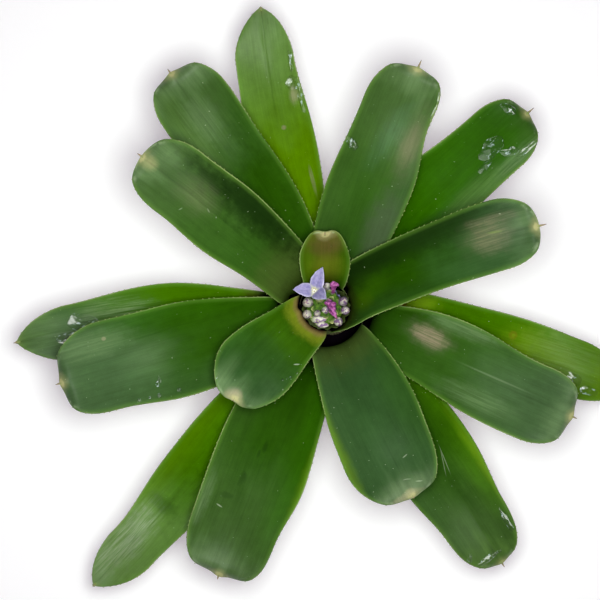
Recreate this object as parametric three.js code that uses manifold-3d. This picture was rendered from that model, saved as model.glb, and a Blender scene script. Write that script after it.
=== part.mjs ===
// A neoregelia bromeliad lifted from its pot and cut clean below the rosette, so that it stands on
// its own short stem: sixteen strap leaves whose sheaths nest round a water cup, and a flower head
// sunk in the cup with one flower open. Millimetres, +Z up, origin at the middle of the cut end.
import * as THREE from "three";
import { mergeVertices } from "three/addons/utils/BufferGeometryUtils.js";
import Module from "manifold-3d";

const wasm = await Module();
wasm.setup();

// ---------------------------------------------------------------- driving dimensions, mm and degrees

const CLEARANCE = 0.3; // between pieces that rest against each other
const FACET_SLACK = 0.15; // more where a tilted or flat facet cuts in

// Stem: a stout cut stub, and a slimmer stretch above it that carries the leaves.
const STUB_RADIUS = 17;
const STUB_HEIGHT = 10;
const STEM_RADIUS = 11;
const STEM_TOP = 44;
const SCAR_DEPTH = 0.7; // rings that old leaves left on the stub

// Cup: each sheath leaves the stem on an arc, then stands upright just outside the one before it.
// The innermost few close tightly round the flower head, and the others leave a dark gap round them.
const INNER_SHEATHS = 3;
const INNER_RADIUS = 13.6;
const INNER_PITCH = 1.8;
const OUTER_RADIUS = 15.5; // that the outer ones would start from if they went all the way in
const OUTER_PITCH = 1.75;
const AXIL_HEIGHT = 44;
const RIM_HEIGHT = 70;
const RIM_STEP = 1.6;
const SHEATH_HALF_WIDTH = 21;
const SHEATH_WIDENING = 0.9; // more for each sheath further out
const WRAP_LENGTH = 24; // over which a sheath narrows to the neck of its blade
const WRAP_LAP = 6; // how much of that lies above the wall
const SHEATH_THICKNESS = 0.9;

// Blade: it turns outwards over the shoulder, then arches down towards its tip.
const SHOULDER_LENGTH = 34;
const SHOULDER_SHARE = 0.45; // of the blade, at most
const ARCH_POWER = 1.4;
const SWAY_START = 0.12; // share of the blade that runs straight out before it swings
const TIP_CURL = 24; // extra droop at the very tip
const CURL_SHARE = 0.1;
const CHANNEL_RADIUS = 75; // of the blade's own shallow channel
const WIDEST_SHARE = 0.6; // where along the blade it is widest
const BLUNT_ZONE = 0.62; // length of the rounded end, as a share of the width
const POINT_ZONE = 1; // and of an end drawn out to a point
const MIDDLE_THICKNESS = 1.3;
const EDGE_THICKNESS = 0.7;
const NOTCH_DEPTH = 2.4; // in the end of a blunt leaf, where its spine stands
const NOTCH_WIDTH = 5;
const TOOTH_HEIGHT = 0.8; // marginal prickles
const SPINE_LENGTH = 3.6;
const SPINE_RADIUS = 0.9;
const SPINE_LIFT = 35;

// Leaves from the heart outwards. heading: bearing of the blade round the axis, from +X; sway: how far
// it swings sideways by its tip; reach: tip to axis, in plan; width: at its widest; neck: width at the
// sheath, as a share of that; rise and fall: slope above the horizontal past the shoulder and near the
// tip; point: 0 for a blunt, notched end, 1 for one drawn out to a point.
const LEAVES = [
  { heading: 91, sway: 0, reach: 40.5, width: 27.5, neck: 0.78, rise: 48, fall: 34, point: 0.1 },
  { heading: 214, sway: 26, reach: 69.5, width: 41, neck: 0.79, rise: 42, fall: 12, point: 0 },
  { heading: 27.5, sway: -15, reach: 117.5, width: 34.5, neck: 0.96, rise: 34, fall: 2, point: 0 },
  { heading: 138.5, sway: 5.5, reach: 124, width: 43, neck: 0.74, rise: 32, fall: -2, point: 0 },
  { heading: 292.5, sway: 5.5, reach: 111.5, width: 50.5, neck: 0.65, rise: 26, fall: -10, point: 0 },
  { heading: 70, sway: -2.5, reach: 135.5, width: 44, neck: 0.79, rise: 26, fall: -8, point: 0 },
  { heading: 196, sway: 0, reach: 148.5, width: 50, neck: 0.5, rise: 20, fall: -14, point: 0 },
  { heading: 335.5, sway: 1.5, reach: 146, width: 44.5, neck: 0.62, rise: 18, fall: -16, point: 0 },
  { heading: 121, sway: 6.5, reach: 152, width: 38, neck: 0.8, rise: 16, fall: -14, point: 0 },
  { heading: 248, sway: 1, reach: 159, width: 55, neck: 0.72, rise: 12, fall: -20, point: 0 },
  { heading: 46, sway: -6, reach: 154.5, width: 39.5, neck: 0.81, rise: 12, fall: -16, point: 0.1 },
  { heading: 183, sway: 9.5, reach: 172.5, width: 34.5, neck: 0.58, rise: 8, fall: -22, point: 1 },
  { heading: 306, sway: -3.5, reach: 176.5, width: 48, neck: 0.8, rise: 5, fall: -26, point: 0.4 },
  { heading: 105.5, sway: -9.5, reach: 172.5, width: 34.5, neck: 0.76, rise: 4, fall: -22, point: 0.9 },
  { heading: 233, sway: -7, reach: 207, width: 36, neck: 0.81, rise: 2, fall: -24, point: 1 },
  { heading: 347.5, sway: -7.5, reach: 178, width: 40, neck: 1, rise: 0, fall: -26, point: 0.8 },
];

// No two margins are alike: how far each stands out beyond an even blade, or falls short of it. left
// is the anticlockwise side; both give the swell nearer the sheath, then the one nearer the tip.
const MARGINS = [
  { left: [0, 0], right: [0, -1] },
  { left: [-1.5, 0], right: [-3.5, 1.5] },
  { left: [0, 2], right: [0, 0.5] },
  { left: [-3, -3], right: [0, -1] },
  { left: [1.5, -2], right: [-1, 1.5] },
  { left: [2.5, -1], right: [0.5, -5] },
  { left: [3.5, -3], right: [1.5, 1.5] },
  { left: [4.5, -2.5], right: [-3, 0.5] },
  { left: [0.5, 2], right: [3, 2] },
  { left: [-1.5, -5], right: [1.5, -1] },
  { left: [5.5, -1], right: [1, 0] },
  { left: [0.5, -1.5], right: [4, -2.5] },
  { left: [1.5, -4.5], right: [0.5, -4.5] },
  { left: [6, 0.5], right: [2.5, -2.5] },
  { left: [2.5, -2.5], right: [2.5, -4.5] },
  { left: [-0.5, -2.5], right: [0, -4.5] },
];
const NEAR_SWELL = { at: 0.35, spread: 0.2 }; // as shares of the blade
const FAR_SWELL = { at: 0.78, spread: 0.16 };

// Grid of a blade: intervals along each stretch, and across.
const ARC_ROWS = 4;
const WALL_ROWS = 2;
const BLADE_ROWS = 12;
const TIP_ROWS = 6;
const COLUMNS = 6;

// Flower head: a core that widens from a slim scape to a level top, with buds round its shoulder.
const SCAPE_RADIUS = 7;
const CORE_RADIUS = 11.6;
const CORE_TOP = 68;
const BUD_SIDES = 8;

// Buds. bearing and distance: where it stands round the axis; lean: off the vertical, towards the
// bearing plus turn; length and radius: of the bud itself.
const BUDS = [
  { bearing: 88, distance: 7.6, lean: 22, turn: 0, length: 11, radius: 2.1 },
  { bearing: 14, distance: 9.6, lean: 8, turn: 40, length: 13, radius: 2.6 },
  { bearing: 348, distance: 10, lean: 16, turn: 20, length: 9, radius: 2.3 },
  { bearing: 165, distance: 8.8, lean: 8, turn: 0, length: 13, radius: 2.8 },
  { bearing: 202, distance: 9.6, lean: 10, turn: 0, length: 11, radius: 2.4 },
  { bearing: 221, distance: 10.6, lean: 58, turn: 147, length: 11, radius: 2 },
  { bearing: 240, distance: 10.8, lean: 54, turn: 118, length: 9, radius: 1.8 },
  { bearing: 312, distance: 9.2, lean: 16, turn: 0, length: 10, radius: 2.4 },
  { bearing: 219, distance: 4.6, lean: 10, turn: 0, length: 10, radius: 1.8 },
  { bearing: 278, distance: 1.5, lean: 4, turn: 0, length: 6, radius: 2 },
];

// Open flower: three pointed petals spread from the throat of a tube that curves out of the head.
const FLOWER_BEARING = 124;
const TUBE_DISTANCE = 5;
const THROAT_DISTANCE = 10.8;
const THROAT_HEIGHT = 91;
const FLOWER_LEAN = 27;
const TUBE_RADIUS = 1.5;
const CALYX_RADIUS = 2.1;
const PETAL_BEARINGS = [-60, 60, 194]; // from the lean of the flower
const PETAL_LENGTH = 13.4;
const PETAL_WIDTH = 7.2;
const PETAL_RISE = 27; // above the plane square to the flower's axis
const PETAL_THICKNESS = 0.6;
const PETAL_ROWS = 8;
const PETAL_COLUMNS = 4;

// Spent flowers: petals twisted shut into a wisp. base and tip are points in space.
const WISP_RADIUS = 1.7;
const SPENT_FLOWERS = [
  { base: [3.9, 2.4, 68.5], tip: [6.2, -6.2, 81] },
  { base: [4.6, 5.8, 68.4], tip: [4.9, 12.8, 81.5] },
];

// ---------------------------------------------------------------- small helpers

const RAD = Math.PI / 180;
const mix = (a, b, share) => a + (b - a) * share;
const clamp = (value) => Math.min(1, Math.max(0, value));
const smooth = (value) => clamp(value) ** 2 * (3 - 2 * clamp(value));
const polar = (radius, bearing, z) =>
  new THREE.Vector3(radius * Math.cos(bearing * RAD), radius * Math.sin(bearing * RAD), z);

// A closed geometry as a solid that can be joined and cut.
function solidOf(geometry) {
  const bare = new THREE.BufferGeometry().setAttribute("position", geometry.getAttribute("position"));
  if (geometry.index) bare.setIndex(geometry.index);
  const merged = mergeVertices(bare, 1e-4);
  return new wasm.Manifold(
    new wasm.Mesh({
      numProp: 3,
      vertProperties: merged.getAttribute("position").array,
      triVerts: new Uint32Array(merged.index.array),
    }),
  );
}

// The geometry of a joined or cut solid.
function geometryOf(solid) {
  const { vertProperties, triVerts } = solid.getMesh();
  const geometry = new THREE.BufferGeometry()
    .setAttribute("position", new THREE.BufferAttribute(new Float32Array(vertProperties), 3))
    .setIndex(new THREE.BufferAttribute(new Uint32Array(triVerts), 1));
  geometry.computeVertexNormals();
  return geometry;
}

// A closed body from rings of points, all with the same count: each ring runs anticlockwise seen
// from the far end, and both ends are closed by a fan to their own centre.
function ringBody(rings) {
  const sides = rings[0].length;
  const points = rings.flat();
  const triangles = [];
  for (let i = 0; i + 1 < rings.length; i++) {
    for (let j = 0; j < sides; j++) {
      const [a, b] = [i * sides + j, i * sides + ((j + 1) % sides)];
      triangles.push(a, b, b + sides, a, b + sides, a + sides);
    }
  }
  for (const [ring, first] of [[rings[0], 0], [rings.at(-1), (rings.length - 1) * sides]]) {
    const middle = ring.reduce((sum, point) => sum.add(point), new THREE.Vector3()).divideScalar(sides);
    const centre = points.push(middle) - 1;
    for (let j = 0; j < sides; j++) {
      const [a, b] = [first + j, first + ((j + 1) % sides)];
      triangles.push(centre, ...(first ? [a, b] : [b, a]));
    }
  }
  return new THREE.BufferGeometry().setFromPoints(points).setIndex(triangles);
}

// A tapered round body along a path: radii gives its radius at each point, lobes its cross-section.
function taperedBody(path, radii, sides, lobeDepth = 0) {
  const start = path[1].clone().sub(path[0]).normalize();
  const across = new THREE.Vector3(-start.y, start.x, 0);
  if (across.length() < 1e-6) across.set(1, 0, 0);
  across.normalize();
  return ringBody(
    path.map((point, i) => {
      const along = path[Math.min(i + 1, path.length - 1)].clone().sub(path[Math.max(i - 1, 0)]).normalize();
      const second = along.clone().cross(across).normalize();
      return Array.from({ length: sides }, (_, j) => {
        const angle = (2 * Math.PI * j) / sides;
        const radius = radii[i] * (1 + lobeDepth * Math.cos(3 * angle));
        return point
          .clone()
          .addScaledVector(across, radius * Math.cos(angle))
          .addScaledVector(second, radius * Math.sin(angle));
      });
    }),
  );
}

// A thin blade from a grid of points on its middle surface: rows along it, columns across it from
// right to left. thicknessAt(across share, row) gives its thickness. Both faces split alike. Where
// toothAt(row) is above zero, the edge wall between two rows rises to a prickle of that height.
function bladeGeometry(grid, thicknessAt, toothAt = () => 0) {
  const rows = grid.length;
  const columns = grid[0].length;
  const points = [];
  for (const side of [1, -1]) {
    for (let i = 0; i < rows; i++) {
      for (let j = 0; j < columns; j++) {
        const along = grid[Math.min(i + 1, rows - 1)][j].clone().sub(grid[Math.max(i - 1, 0)][j]);
        const across = grid[i][Math.min(j + 1, columns - 1)].clone().sub(grid[i][Math.max(j - 1, 0)]);
        const normal = along.cross(across).normalize();
        const half = thicknessAt((2 * j) / (columns - 1) - 1, i) / 2;
        points.push(grid[i][j].clone().addScaledVector(normal, side * half));
      }
    }
  }
  const at = (side, i, j) => side * rows * columns + i * columns + j;
  const triangles = [];
  for (let i = 0; i + 1 < rows; i++) {
    for (let j = 0; j + 1 < columns; j++) {
      for (const side of [0, 1]) {
        const [a, b, c, d] = [at(side, i, j), at(side, i + 1, j), at(side, i + 1, j + 1), at(side, i, j + 1)];
        triangles.push(...(side ? [a, c, b, a, d, c] : [a, b, c, a, c, d]));
      }
    }
    for (const j of [0, columns - 1]) {
      const wall = [at(0, i, j), at(1, i, j), at(1, i + 1, j), at(0, i + 1, j)];
      if (j) wall.reverse();
      const height = toothAt(i);
      if (height > 0) {
        const outward = grid[i + 1][j].clone().sub(grid[i + 1][j ? j - 1 : 1]).normalize();
        const middle = grid[i][j].clone().lerp(grid[i + 1][j], 0.6).addScaledVector(outward, height);
        const tooth = points.push(middle) - 1;
        wall.forEach((corner, n) => triangles.push(corner, wall[(n + 1) % 4], tooth));
      } else {
        triangles.push(wall[0], wall[1], wall[2], wall[0], wall[2], wall[3]);
      }
    }
  }
  for (let j = 0; j + 1 < columns; j++) {
    const first = [at(0, 0, j), at(0, 0, j + 1), at(1, 0, j + 1), at(1, 0, j)];
    const last = [at(0, rows - 1, j), at(1, rows - 1, j), at(1, rows - 1, j + 1), at(0, rows - 1, j + 1)];
    for (const [a, b, c, d] of [first, last]) triangles.push(a, b, c, a, c, d);
  }
  return new THREE.BufferGeometry().setFromPoints(points).setIndex(triangles);
}

// ---------------------------------------------------------------- leaves

// Slope of a blade above the horizontal at distance s past its sheath's wall.
function slopeAt(leaf, s, length) {
  const turn = Math.min(SHOULDER_LENGTH, SHOULDER_SHARE * length);
  const arch = clamp((s - turn / 2) / (length - turn / 2)) ** ARCH_POWER;
  const shoulder = smooth(s / turn);
  const curl = smooth((s / length - 1 + CURL_SHARE) / CURL_SHARE);
  return mix(90, mix(leaf.rise, leaf.fall, arch), shoulder) - TIP_CURL * (1 - leaf.point) * curl;
}

// Middle line of a leaf, worked out by small steps along it: position, heading and slope at each
// millimetre of its arc off the stem, its upright wall and its blade.
function midline(leaf, rank) {
  const inner = rank < INNER_SHEATHS;
  const wallRadius = inner ? INNER_RADIUS + rank * INNER_PITCH : OUTER_RADIUS + rank * OUTER_PITCH;
  const wallLength = RIM_HEIGHT - rank * RIM_STEP - AXIL_HEIGHT;
  const arcRadius = wallRadius - STEM_RADIUS;
  const sheathHalf = SHEATH_HALF_WIDTH + rank * SHEATH_WIDENING;
  const facetDepth = STEM_RADIUS * (1 - Math.cos(sheathHalf / wallRadius / COLUMNS));
  const rootGap = CLEARANCE + FACET_SLACK + facetDepth;
  const arcLength = (arcRadius * Math.PI) / 2 - rootGap;
  const walk = (length) => {
    const line = [];
    const place = polar(wallRadius, leaf.heading, AXIL_HEIGHT + wallLength);
    for (let s = 0; s <= length; s++) {
      const heading = leaf.heading + leaf.sway * clamp((s / length - SWAY_START) / (1 - SWAY_START));
      const slope = slopeAt(leaf, s, length);
      line.push({ place: place.clone(), heading, slope });
      place.add(polar(Math.cos(slope * RAD), heading, Math.sin(slope * RAD)));
    }
    return line;
  };
  // The blade is made as long as it has to be for its tip to reach as far as it should.
  let bladeLength = leaf.reach - wallRadius;
  for (let pass = 0; pass < 8; pass++) {
    const tip = walk(bladeLength).at(-1).place;
    bladeLength += (leaf.reach - Math.hypot(tip.x, tip.y)) / Math.max(0.5, Math.cos(leaf.fall * RAD));
  }
  const blade = walk(bladeLength + 1);
  const placeAt = (s) => {
    if (s < arcLength) {
      const turn = (s + rootGap) / arcRadius;
      const radius = STEM_RADIUS + arcRadius * Math.sin(turn);
      return {
        place: polar(radius, leaf.heading, AXIL_HEIGHT - arcRadius * Math.cos(turn)),
        heading: leaf.heading,
        slope: turn / RAD,
      };
    }
    const up = s - arcLength;
    if (up < wallLength) {
      return { place: polar(wallRadius, leaf.heading, AXIL_HEIGHT + up), heading: leaf.heading, slope: 90 };
    }
    const step = Math.min(up - wallLength, blade.length - 1.001);
    const [low, high] = [blade[Math.floor(step)], blade[Math.floor(step) + 1]];
    return {
      place: low.place.clone().lerp(high.place, step % 1),
      heading: mix(low.heading, high.heading, step % 1),
      slope: mix(low.slope, high.slope, step % 1),
    };
  };
  return { placeAt, arcLength, wallLength, wallRadius, bladeLength, sheathHalf };
}

// Half the width of a leaf at distance s past its wall.
function halfWidthAt(leaf, s, length) {
  const swell = mix(leaf.neck, 1, smooth(s / length / WIDEST_SHARE));
  const zone = leaf.width * mix(BLUNT_ZONE, POINT_ZONE, leaf.point);
  const share = clamp((s - length + zone) / zone);
  const cap = (1 - share ** mix(2.1, 1.6, leaf.point)) ** mix(0.5, 0.9, leaf.point);
  return Math.max(SPINE_RADIUS, (leaf.width / 2) * swell * cap);
}

// How much further out than on an even blade a margin lies at this share of the blade's length.
function swellAt(leaf, margin, along) {
  const bell = ({ at, spread }) => Math.exp(-(((along - at) / spread) ** 2));
  return 1 + (margin[0] * bell(NEAR_SWELL) + margin[1] * bell(FAR_SWELL)) / (leaf.width / 2);
}

// The middle surface of a leaf: at each row a circular arc is laid across the middle line. In the
// sheath the arc is a level ring round the plant's axis; along the blade it turns square to the
// blade and flattens into a shallow channel.
function leafGrid(leaf, margins, line) {
  const { placeAt, arcLength, wallLength, wallRadius, bladeLength, sheathHalf } = line;
  const sheathLength = arcLength + wallLength;
  const tipZone = leaf.width * mix(BLUNT_ZONE, POINT_ZONE, leaf.point);
  const bodyLength = bladeLength - tipZone;
  const rows = [
    ...Array.from({ length: ARC_ROWS }, (_, i) => (arcLength * i) / ARC_ROWS),
    ...Array.from({ length: WALL_ROWS }, (_, i) => arcLength + (wallLength * i) / WALL_ROWS),
    ...Array.from({ length: BLADE_ROWS }, (_, i) => sheathLength + (bodyLength * i) / BLADE_ROWS),
    ...Array.from({ length: TIP_ROWS + 1 }, (_, i) => {
      return sheathLength + bodyLength + tipZone * Math.sin((Math.PI / 2) * (i / TIP_ROWS));
    }),
  ];
  return rows.map((s) => {
    const past = s - sheathLength;
    const radius = Math.hypot(placeAt(s).place.x, placeAt(s).place.y);
    const bladeHalf = halfWidthAt(leaf, Math.max(0, past), bladeLength);
    const wallHalf = mix(bladeHalf, sheathHalf, smooth((WRAP_LAP - past) / WRAP_LENGTH));
    const halfWidth = s < arcLength ? (wallHalf * radius) / wallRadius : wallHalf;
    const open = smooth((past / bladeLength - 0.1) / 0.5);
    const bend = mix(1 / radius, 1 / CHANNEL_RADIUS, open);
    const nearTip = smooth((past - bladeLength + tipZone) / tipZone);
    return Array.from({ length: COLUMNS + 1 }, (_, j) => {
      const share = (2 * j) / COLUMNS - 1;
      const margin = share < 0 ? margins.right : margins.left;
      const across = share * halfWidth * swellAt(leaf, margin, past / bladeLength);
      const notch = NOTCH_DEPTH * (1 - leaf.point) * nearTip * Math.exp(-((across / NOTCH_WIDTH) ** 2));
      const { place, heading, slope } = placeAt(s - notch);
      const side = polar(1, heading + 90, 0);
      const inward = polar(-1, heading, 0);
      const upper = polar(-Math.sin(slope * RAD), heading, Math.cos(slope * RAD));
      const hollow = inward.lerp(upper, open).normalize();
      return place
        .addScaledVector(side, Math.sin(across * bend) / bend)
        .addScaledVector(hollow, (1 - Math.cos(across * bend)) / bend);
    });
  });
}

// The small hooked spine at the end of a leaf, rooted in the blade.
function leafSpine(line) {
  const end = line.arcLength + line.wallLength + line.bladeLength - NOTCH_DEPTH;
  const { place, heading, slope } = line.placeAt(end - 2);
  const path = [place.clone()];
  const radii = [SPINE_RADIUS * 0.6];
  const steps = 4;
  const stride = (SPINE_LENGTH + 2) / steps;
  for (let i = 1; i <= steps; i++) {
    const pitch = (slope + (SPINE_LIFT * i) / steps) * RAD;
    place.add(polar(stride * Math.cos(pitch), heading, stride * Math.sin(pitch)));
    path.push(place.clone());
    radii.push(mix(SPINE_RADIUS, 0.3, (i - 1) / (steps - 1)));
  }
  return taperedBody(path, radii, 5);
}

function leafGeometry(leaf, rank) {
  const line = midline(leaf, rank);
  const sheathRows = ARC_ROWS + WALL_ROWS;
  const thicknessAt = (share, row) =>
    row < sheathRows ? SHEATH_THICKNESS : mix(MIDDLE_THICKNESS, EDGE_THICKNESS, share ** 2);
  const toothAt = (row) => (row > sheathRows + 1 && row < sheathRows + BLADE_ROWS + 3 ? TOOTH_HEIGHT : 0);
  const blade = solidOf(bladeGeometry(leafGrid(leaf, MARGINS[rank], line), thicknessAt, toothAt));
  return geometryOf(blade.add(solidOf(leafSpine(line))));
}

// ---------------------------------------------------------------- stem

function stemGeometry() {
  const profile = [
    [0, 0],
    [STUB_RADIUS - 1, 0],
    [STUB_RADIUS, 1],
    [STUB_RADIUS, STUB_HEIGHT * 0.3],
    [STUB_RADIUS - SCAR_DEPTH, STUB_HEIGHT * 0.36],
    [STUB_RADIUS, STUB_HEIGHT * 0.45],
    [STUB_RADIUS - 0.4, STUB_HEIGHT * 0.7],
    [STUB_RADIUS - 0.4 - SCAR_DEPTH, STUB_HEIGHT * 0.76],
    [STUB_RADIUS - 0.8, STUB_HEIGHT * 0.85],
    [STUB_RADIUS - 2, STUB_HEIGHT],
    [STEM_RADIUS, STUB_HEIGHT + 2],
    [STEM_RADIUS, STEM_TOP - 2],
    [STEM_RADIUS - 2, STEM_TOP],
    [0, STEM_TOP],
  ].map(([x, y]) => new THREE.Vector2(x, y));
  return new THREE.LatheGeometry(profile, 32).rotateX(Math.PI / 2);
}

// ---------------------------------------------------------------- flower head

function budGeometry(bud) {
  const base = polar(bud.distance, bud.bearing, CORE_TOP - 1);
  const aim = polar(Math.sin(bud.lean * RAD), bud.bearing + bud.turn, Math.cos(bud.lean * RAD));
  const profile = [[0, 0.5], [0.3, 0.92], [0.55, 1], [0.8, 0.72], [1, 0.14]];
  const path = profile.map(([along]) => base.clone().addScaledVector(aim, along * (bud.length + 1)));
  return taperedBody(path, profile.map(([, size]) => size * bud.radius), BUD_SIDES, 0.08);
}

function headGeometry() {
  const bottom = STEM_TOP + CLEARANCE;
  const core = new THREE.LatheGeometry(
    [
      [0, bottom],
      [SCAPE_RADIUS, bottom],
      [SCAPE_RADIUS, mix(bottom, CORE_TOP, 0.35)],
      [CORE_RADIUS * 0.9, mix(bottom, CORE_TOP, 0.65)],
      [CORE_RADIUS, mix(bottom, CORE_TOP, 0.8)],
      [CORE_RADIUS * 0.93, CORE_TOP - 1.5],
      [CORE_RADIUS * 0.8, CORE_TOP],
      [0, CORE_TOP],
    ].map(([x, y]) => new THREE.Vector2(x, y)),
    24,
  ).rotateX(Math.PI / 2);
  return geometryOf(BUDS.reduce((head, bud) => head.add(solidOf(budGeometry(bud))), solidOf(core)));
}

// One petal: it leaves the throat steeply, spreads, and comes to a point.
function petalGeometry(throat, axis, bearing) {
  const level = polar(1, FLOWER_BEARING + 90, 0);
  const outward = level
    .clone()
    .cross(axis)
    .multiplyScalar(Math.cos(bearing * RAD))
    .addScaledVector(level, Math.sin(bearing * RAD));
  const side = axis.clone().cross(outward);
  const grid = Array.from({ length: PETAL_ROWS + 1 }, (_, i) => {
    const share = i / PETAL_ROWS;
    const out = 0.6 + share * PETAL_LENGTH * Math.cos(PETAL_RISE * RAD);
    const up = PETAL_LENGTH * Math.sin(PETAL_RISE * RAD) * share * (1.5 - 0.5 * share) - 0.6;
    const swell = 0.25 * (1 - share) + 2.35 * share ** 0.6 * (1 - share) ** 0.8;
    const half = (PETAL_WIDTH / 2) * Math.max(0.08, swell);
    return Array.from({ length: PETAL_COLUMNS + 1 }, (_, j) => {
      const across = (2 * j) / PETAL_COLUMNS - 1;
      return throat
        .clone()
        .addScaledVector(outward, out)
        .addScaledVector(axis, up + 0.16 * half * across ** 2)
        .addScaledVector(side, across * half);
    });
  });
  return bladeGeometry(grid, () => PETAL_THICKNESS);
}

function openFlowerGeometry() {
  const foot = polar(TUBE_DISTANCE, FLOWER_BEARING, CORE_TOP + CLEARANCE);
  const throat = polar(THROAT_DISTANCE, FLOWER_BEARING, THROAT_HEIGHT);
  const axis = polar(Math.sin(FLOWER_LEAN * RAD), FLOWER_BEARING, Math.cos(FLOWER_LEAN * RAD));
  const height = THROAT_HEIGHT - foot.z;
  const curve = new THREE.CubicBezierCurve3(
    foot,
    foot.clone().add(new THREE.Vector3(0, 0, height * 0.35)),
    throat.clone().addScaledVector(axis, -height * 0.35),
    throat,
  );
  const profile = [[0, 1], [0.2, 1.2], [0.4, 1.4], [0.6, 1.2], [0.8, 0.85], [0.93, 1], [1, 1.2]];
  const path = profile.map(([along]) => curve.getPoint(along));
  const radii = profile.map(([, size], i) => size * (i > 1 && i < 4 ? CALYX_RADIUS / 1.4 : TUBE_RADIUS));
  const tube = solidOf(taperedBody(path, radii, BUD_SIDES));
  const petals = PETAL_BEARINGS.map((bearing) => solidOf(petalGeometry(throat, axis, bearing)));
  return geometryOf(petals.reduce((flower, petal) => flower.add(petal), tube));
}

function spentFlowerGeometry({ base, tip }) {
  const [foot, end] = [new THREE.Vector3(...base), new THREE.Vector3(...tip)];
  const height = end.z - foot.z;
  const curve = new THREE.QuadraticBezierCurve3(foot, foot.clone().setZ(foot.z + height * 0.6), end);
  const profile = [[0, 0.75], [0.2, 1], [0.45, 0.7], [0.65, 0.95], [0.85, 0.7], [1, 0.3]];
  const path = profile.map(([along]) => curve.getPoint(along));
  return taperedBody(path, profile.map(([, size]) => size * WISP_RADIUS), BUD_SIDES, 0.14);
}

// ---------------------------------------------------------------- assembly

const finish = (color, roughness) => new THREE.MeshStandardMaterial({ color, roughness, metalness: 0 });
const INNER_GREEN = finish(0x4e7a22, 0.45);
const UPPER_GREEN = finish(0x2f5f2a, 0.42);
const LOWER_GREEN = finish(0x4c8416, 0.4);
const STEM_BROWN = finish(0x6b5233, 0.85);
const BUD_CREAM = finish(0xc9ccb0, 0.5);
const PETAL_LILAC = finish(0xb9b4e4, 0.5);
const SPENT_MAGENTA = finish(0xb04a98, 0.5);

const plant = new THREE.Group();

function addPiece(name, geometry, material) {
  const mesh = new THREE.Mesh(geometry, material);
  mesh.name = name;
  plant.add(mesh);
}

addPiece("stem", stemGeometry(), STEM_BROWN);
LEAVES.forEach((leaf, rank) => {
  const material = rank < 2 ? INNER_GREEN : rank < 10 ? UPPER_GREEN : LOWER_GREEN;
  addPiece("leaf_" + String(rank + 1).padStart(2, "0"), leafGeometry(leaf, rank), material);
});
addPiece("flower_head", headGeometry(), BUD_CREAM);
addPiece("open_flower", openFlowerGeometry(), PETAL_LILAC);
SPENT_FLOWERS.forEach((flower, n) => {
  addPiece(`spent_flower_${n + 1}`, spentFlowerGeometry(flower), SPENT_MAGENTA);
});

export default plant;
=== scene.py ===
"""Looks of a neoregelia bromeliad that stands on its cut stem, with one flower open in its cup.

Sizes are in millimetres and degrees, nearly all of them the part's own driving dimensions, and
become metres when a mesh is made. Z points up and the origin is the middle of the cut end.
"""
import math
from collections import namedtuple
from functools import partialmethod

import bpy
import numpy as np
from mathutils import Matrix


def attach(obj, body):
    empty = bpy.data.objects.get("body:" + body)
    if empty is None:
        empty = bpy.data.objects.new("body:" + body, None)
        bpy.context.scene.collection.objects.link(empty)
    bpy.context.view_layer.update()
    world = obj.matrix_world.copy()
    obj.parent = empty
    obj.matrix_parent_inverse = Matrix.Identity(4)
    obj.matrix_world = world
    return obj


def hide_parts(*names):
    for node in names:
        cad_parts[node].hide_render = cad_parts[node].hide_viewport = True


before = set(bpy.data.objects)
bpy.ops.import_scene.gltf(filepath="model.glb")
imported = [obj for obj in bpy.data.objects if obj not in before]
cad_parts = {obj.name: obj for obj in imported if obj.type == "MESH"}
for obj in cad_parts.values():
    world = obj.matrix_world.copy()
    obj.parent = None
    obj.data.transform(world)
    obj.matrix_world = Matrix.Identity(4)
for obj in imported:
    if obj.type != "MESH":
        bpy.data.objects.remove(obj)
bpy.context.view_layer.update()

MM = 0.001
RAD = math.pi / 180

# ---- driving dimensions

# Stem: a stout cut stub, and a slimmer stretch above it that carries the leaves.
STUB_RADIUS = 17
STUB_HEIGHT = 10
STEM_RADIUS = 11
STEM_TOP = 44
SCAR_DEPTH = 0.7

# Cup: each sheath leaves the stem on an arc, then stands upright just outside the one before it.
CLEARANCE = 0.3
FACET_SLACK = 0.15
FACETS_ACROSS = 6
INNER_SHEATHS = 3
INNER_RADIUS = 13.6
INNER_PITCH = 1.8
OUTER_RADIUS = 15.5
OUTER_PITCH = 1.75
AXIL_HEIGHT = 44
RIM_HEIGHT = 70
RIM_STEP = 1.6
SHEATH_HALF_WIDTH = 21
SHEATH_WIDENING = 0.9
WRAP_LENGTH = 24
WRAP_LAP = 6
SHEATH_THICKNESS = 0.9

# Blade: it turns outwards over the shoulder, then arches down towards its tip.
SHOULDER_LENGTH = 34
SHOULDER_SHARE = 0.45
ARCH_POWER = 1.4
SWAY_START = 0.12
TIP_CURL = 24
CURL_SHARE = 0.1
CHANNEL_RADIUS = 75
WIDEST_SHARE = 0.6
BLUNT_ZONE = 0.62
POINT_ZONE = 1
CAP_POWERS = (2.1, 1.6)  # of the outline at the tip, for a blunt end and for a pointed one
CAP_ROOTS = (0.5, 0.9)
MIDDLE_THICKNESS = 1.3
EDGE_THICKNESS = 0.7
NOTCH_DEPTH = 1.7
NOTCH_WIDTH = 3.6
SPINE_LENGTH = 3.6
SPINE_RADIUS = 0.9
SPINE_LIFT = 35
SPINE_ROOT = 2
# Share of that length that stands out of the green, and by rank where it differs.
USUAL_SPINE = 0.75
SPINES = {
    0: 0.1, 1: 0.1, 2: 1.1, 4: 0.2, 5: 1.25, 9: 0.6, 10: 1.25, 11: 0.6, 13: 0.2, 14: 0.2, 15: 0.3,
}

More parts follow.
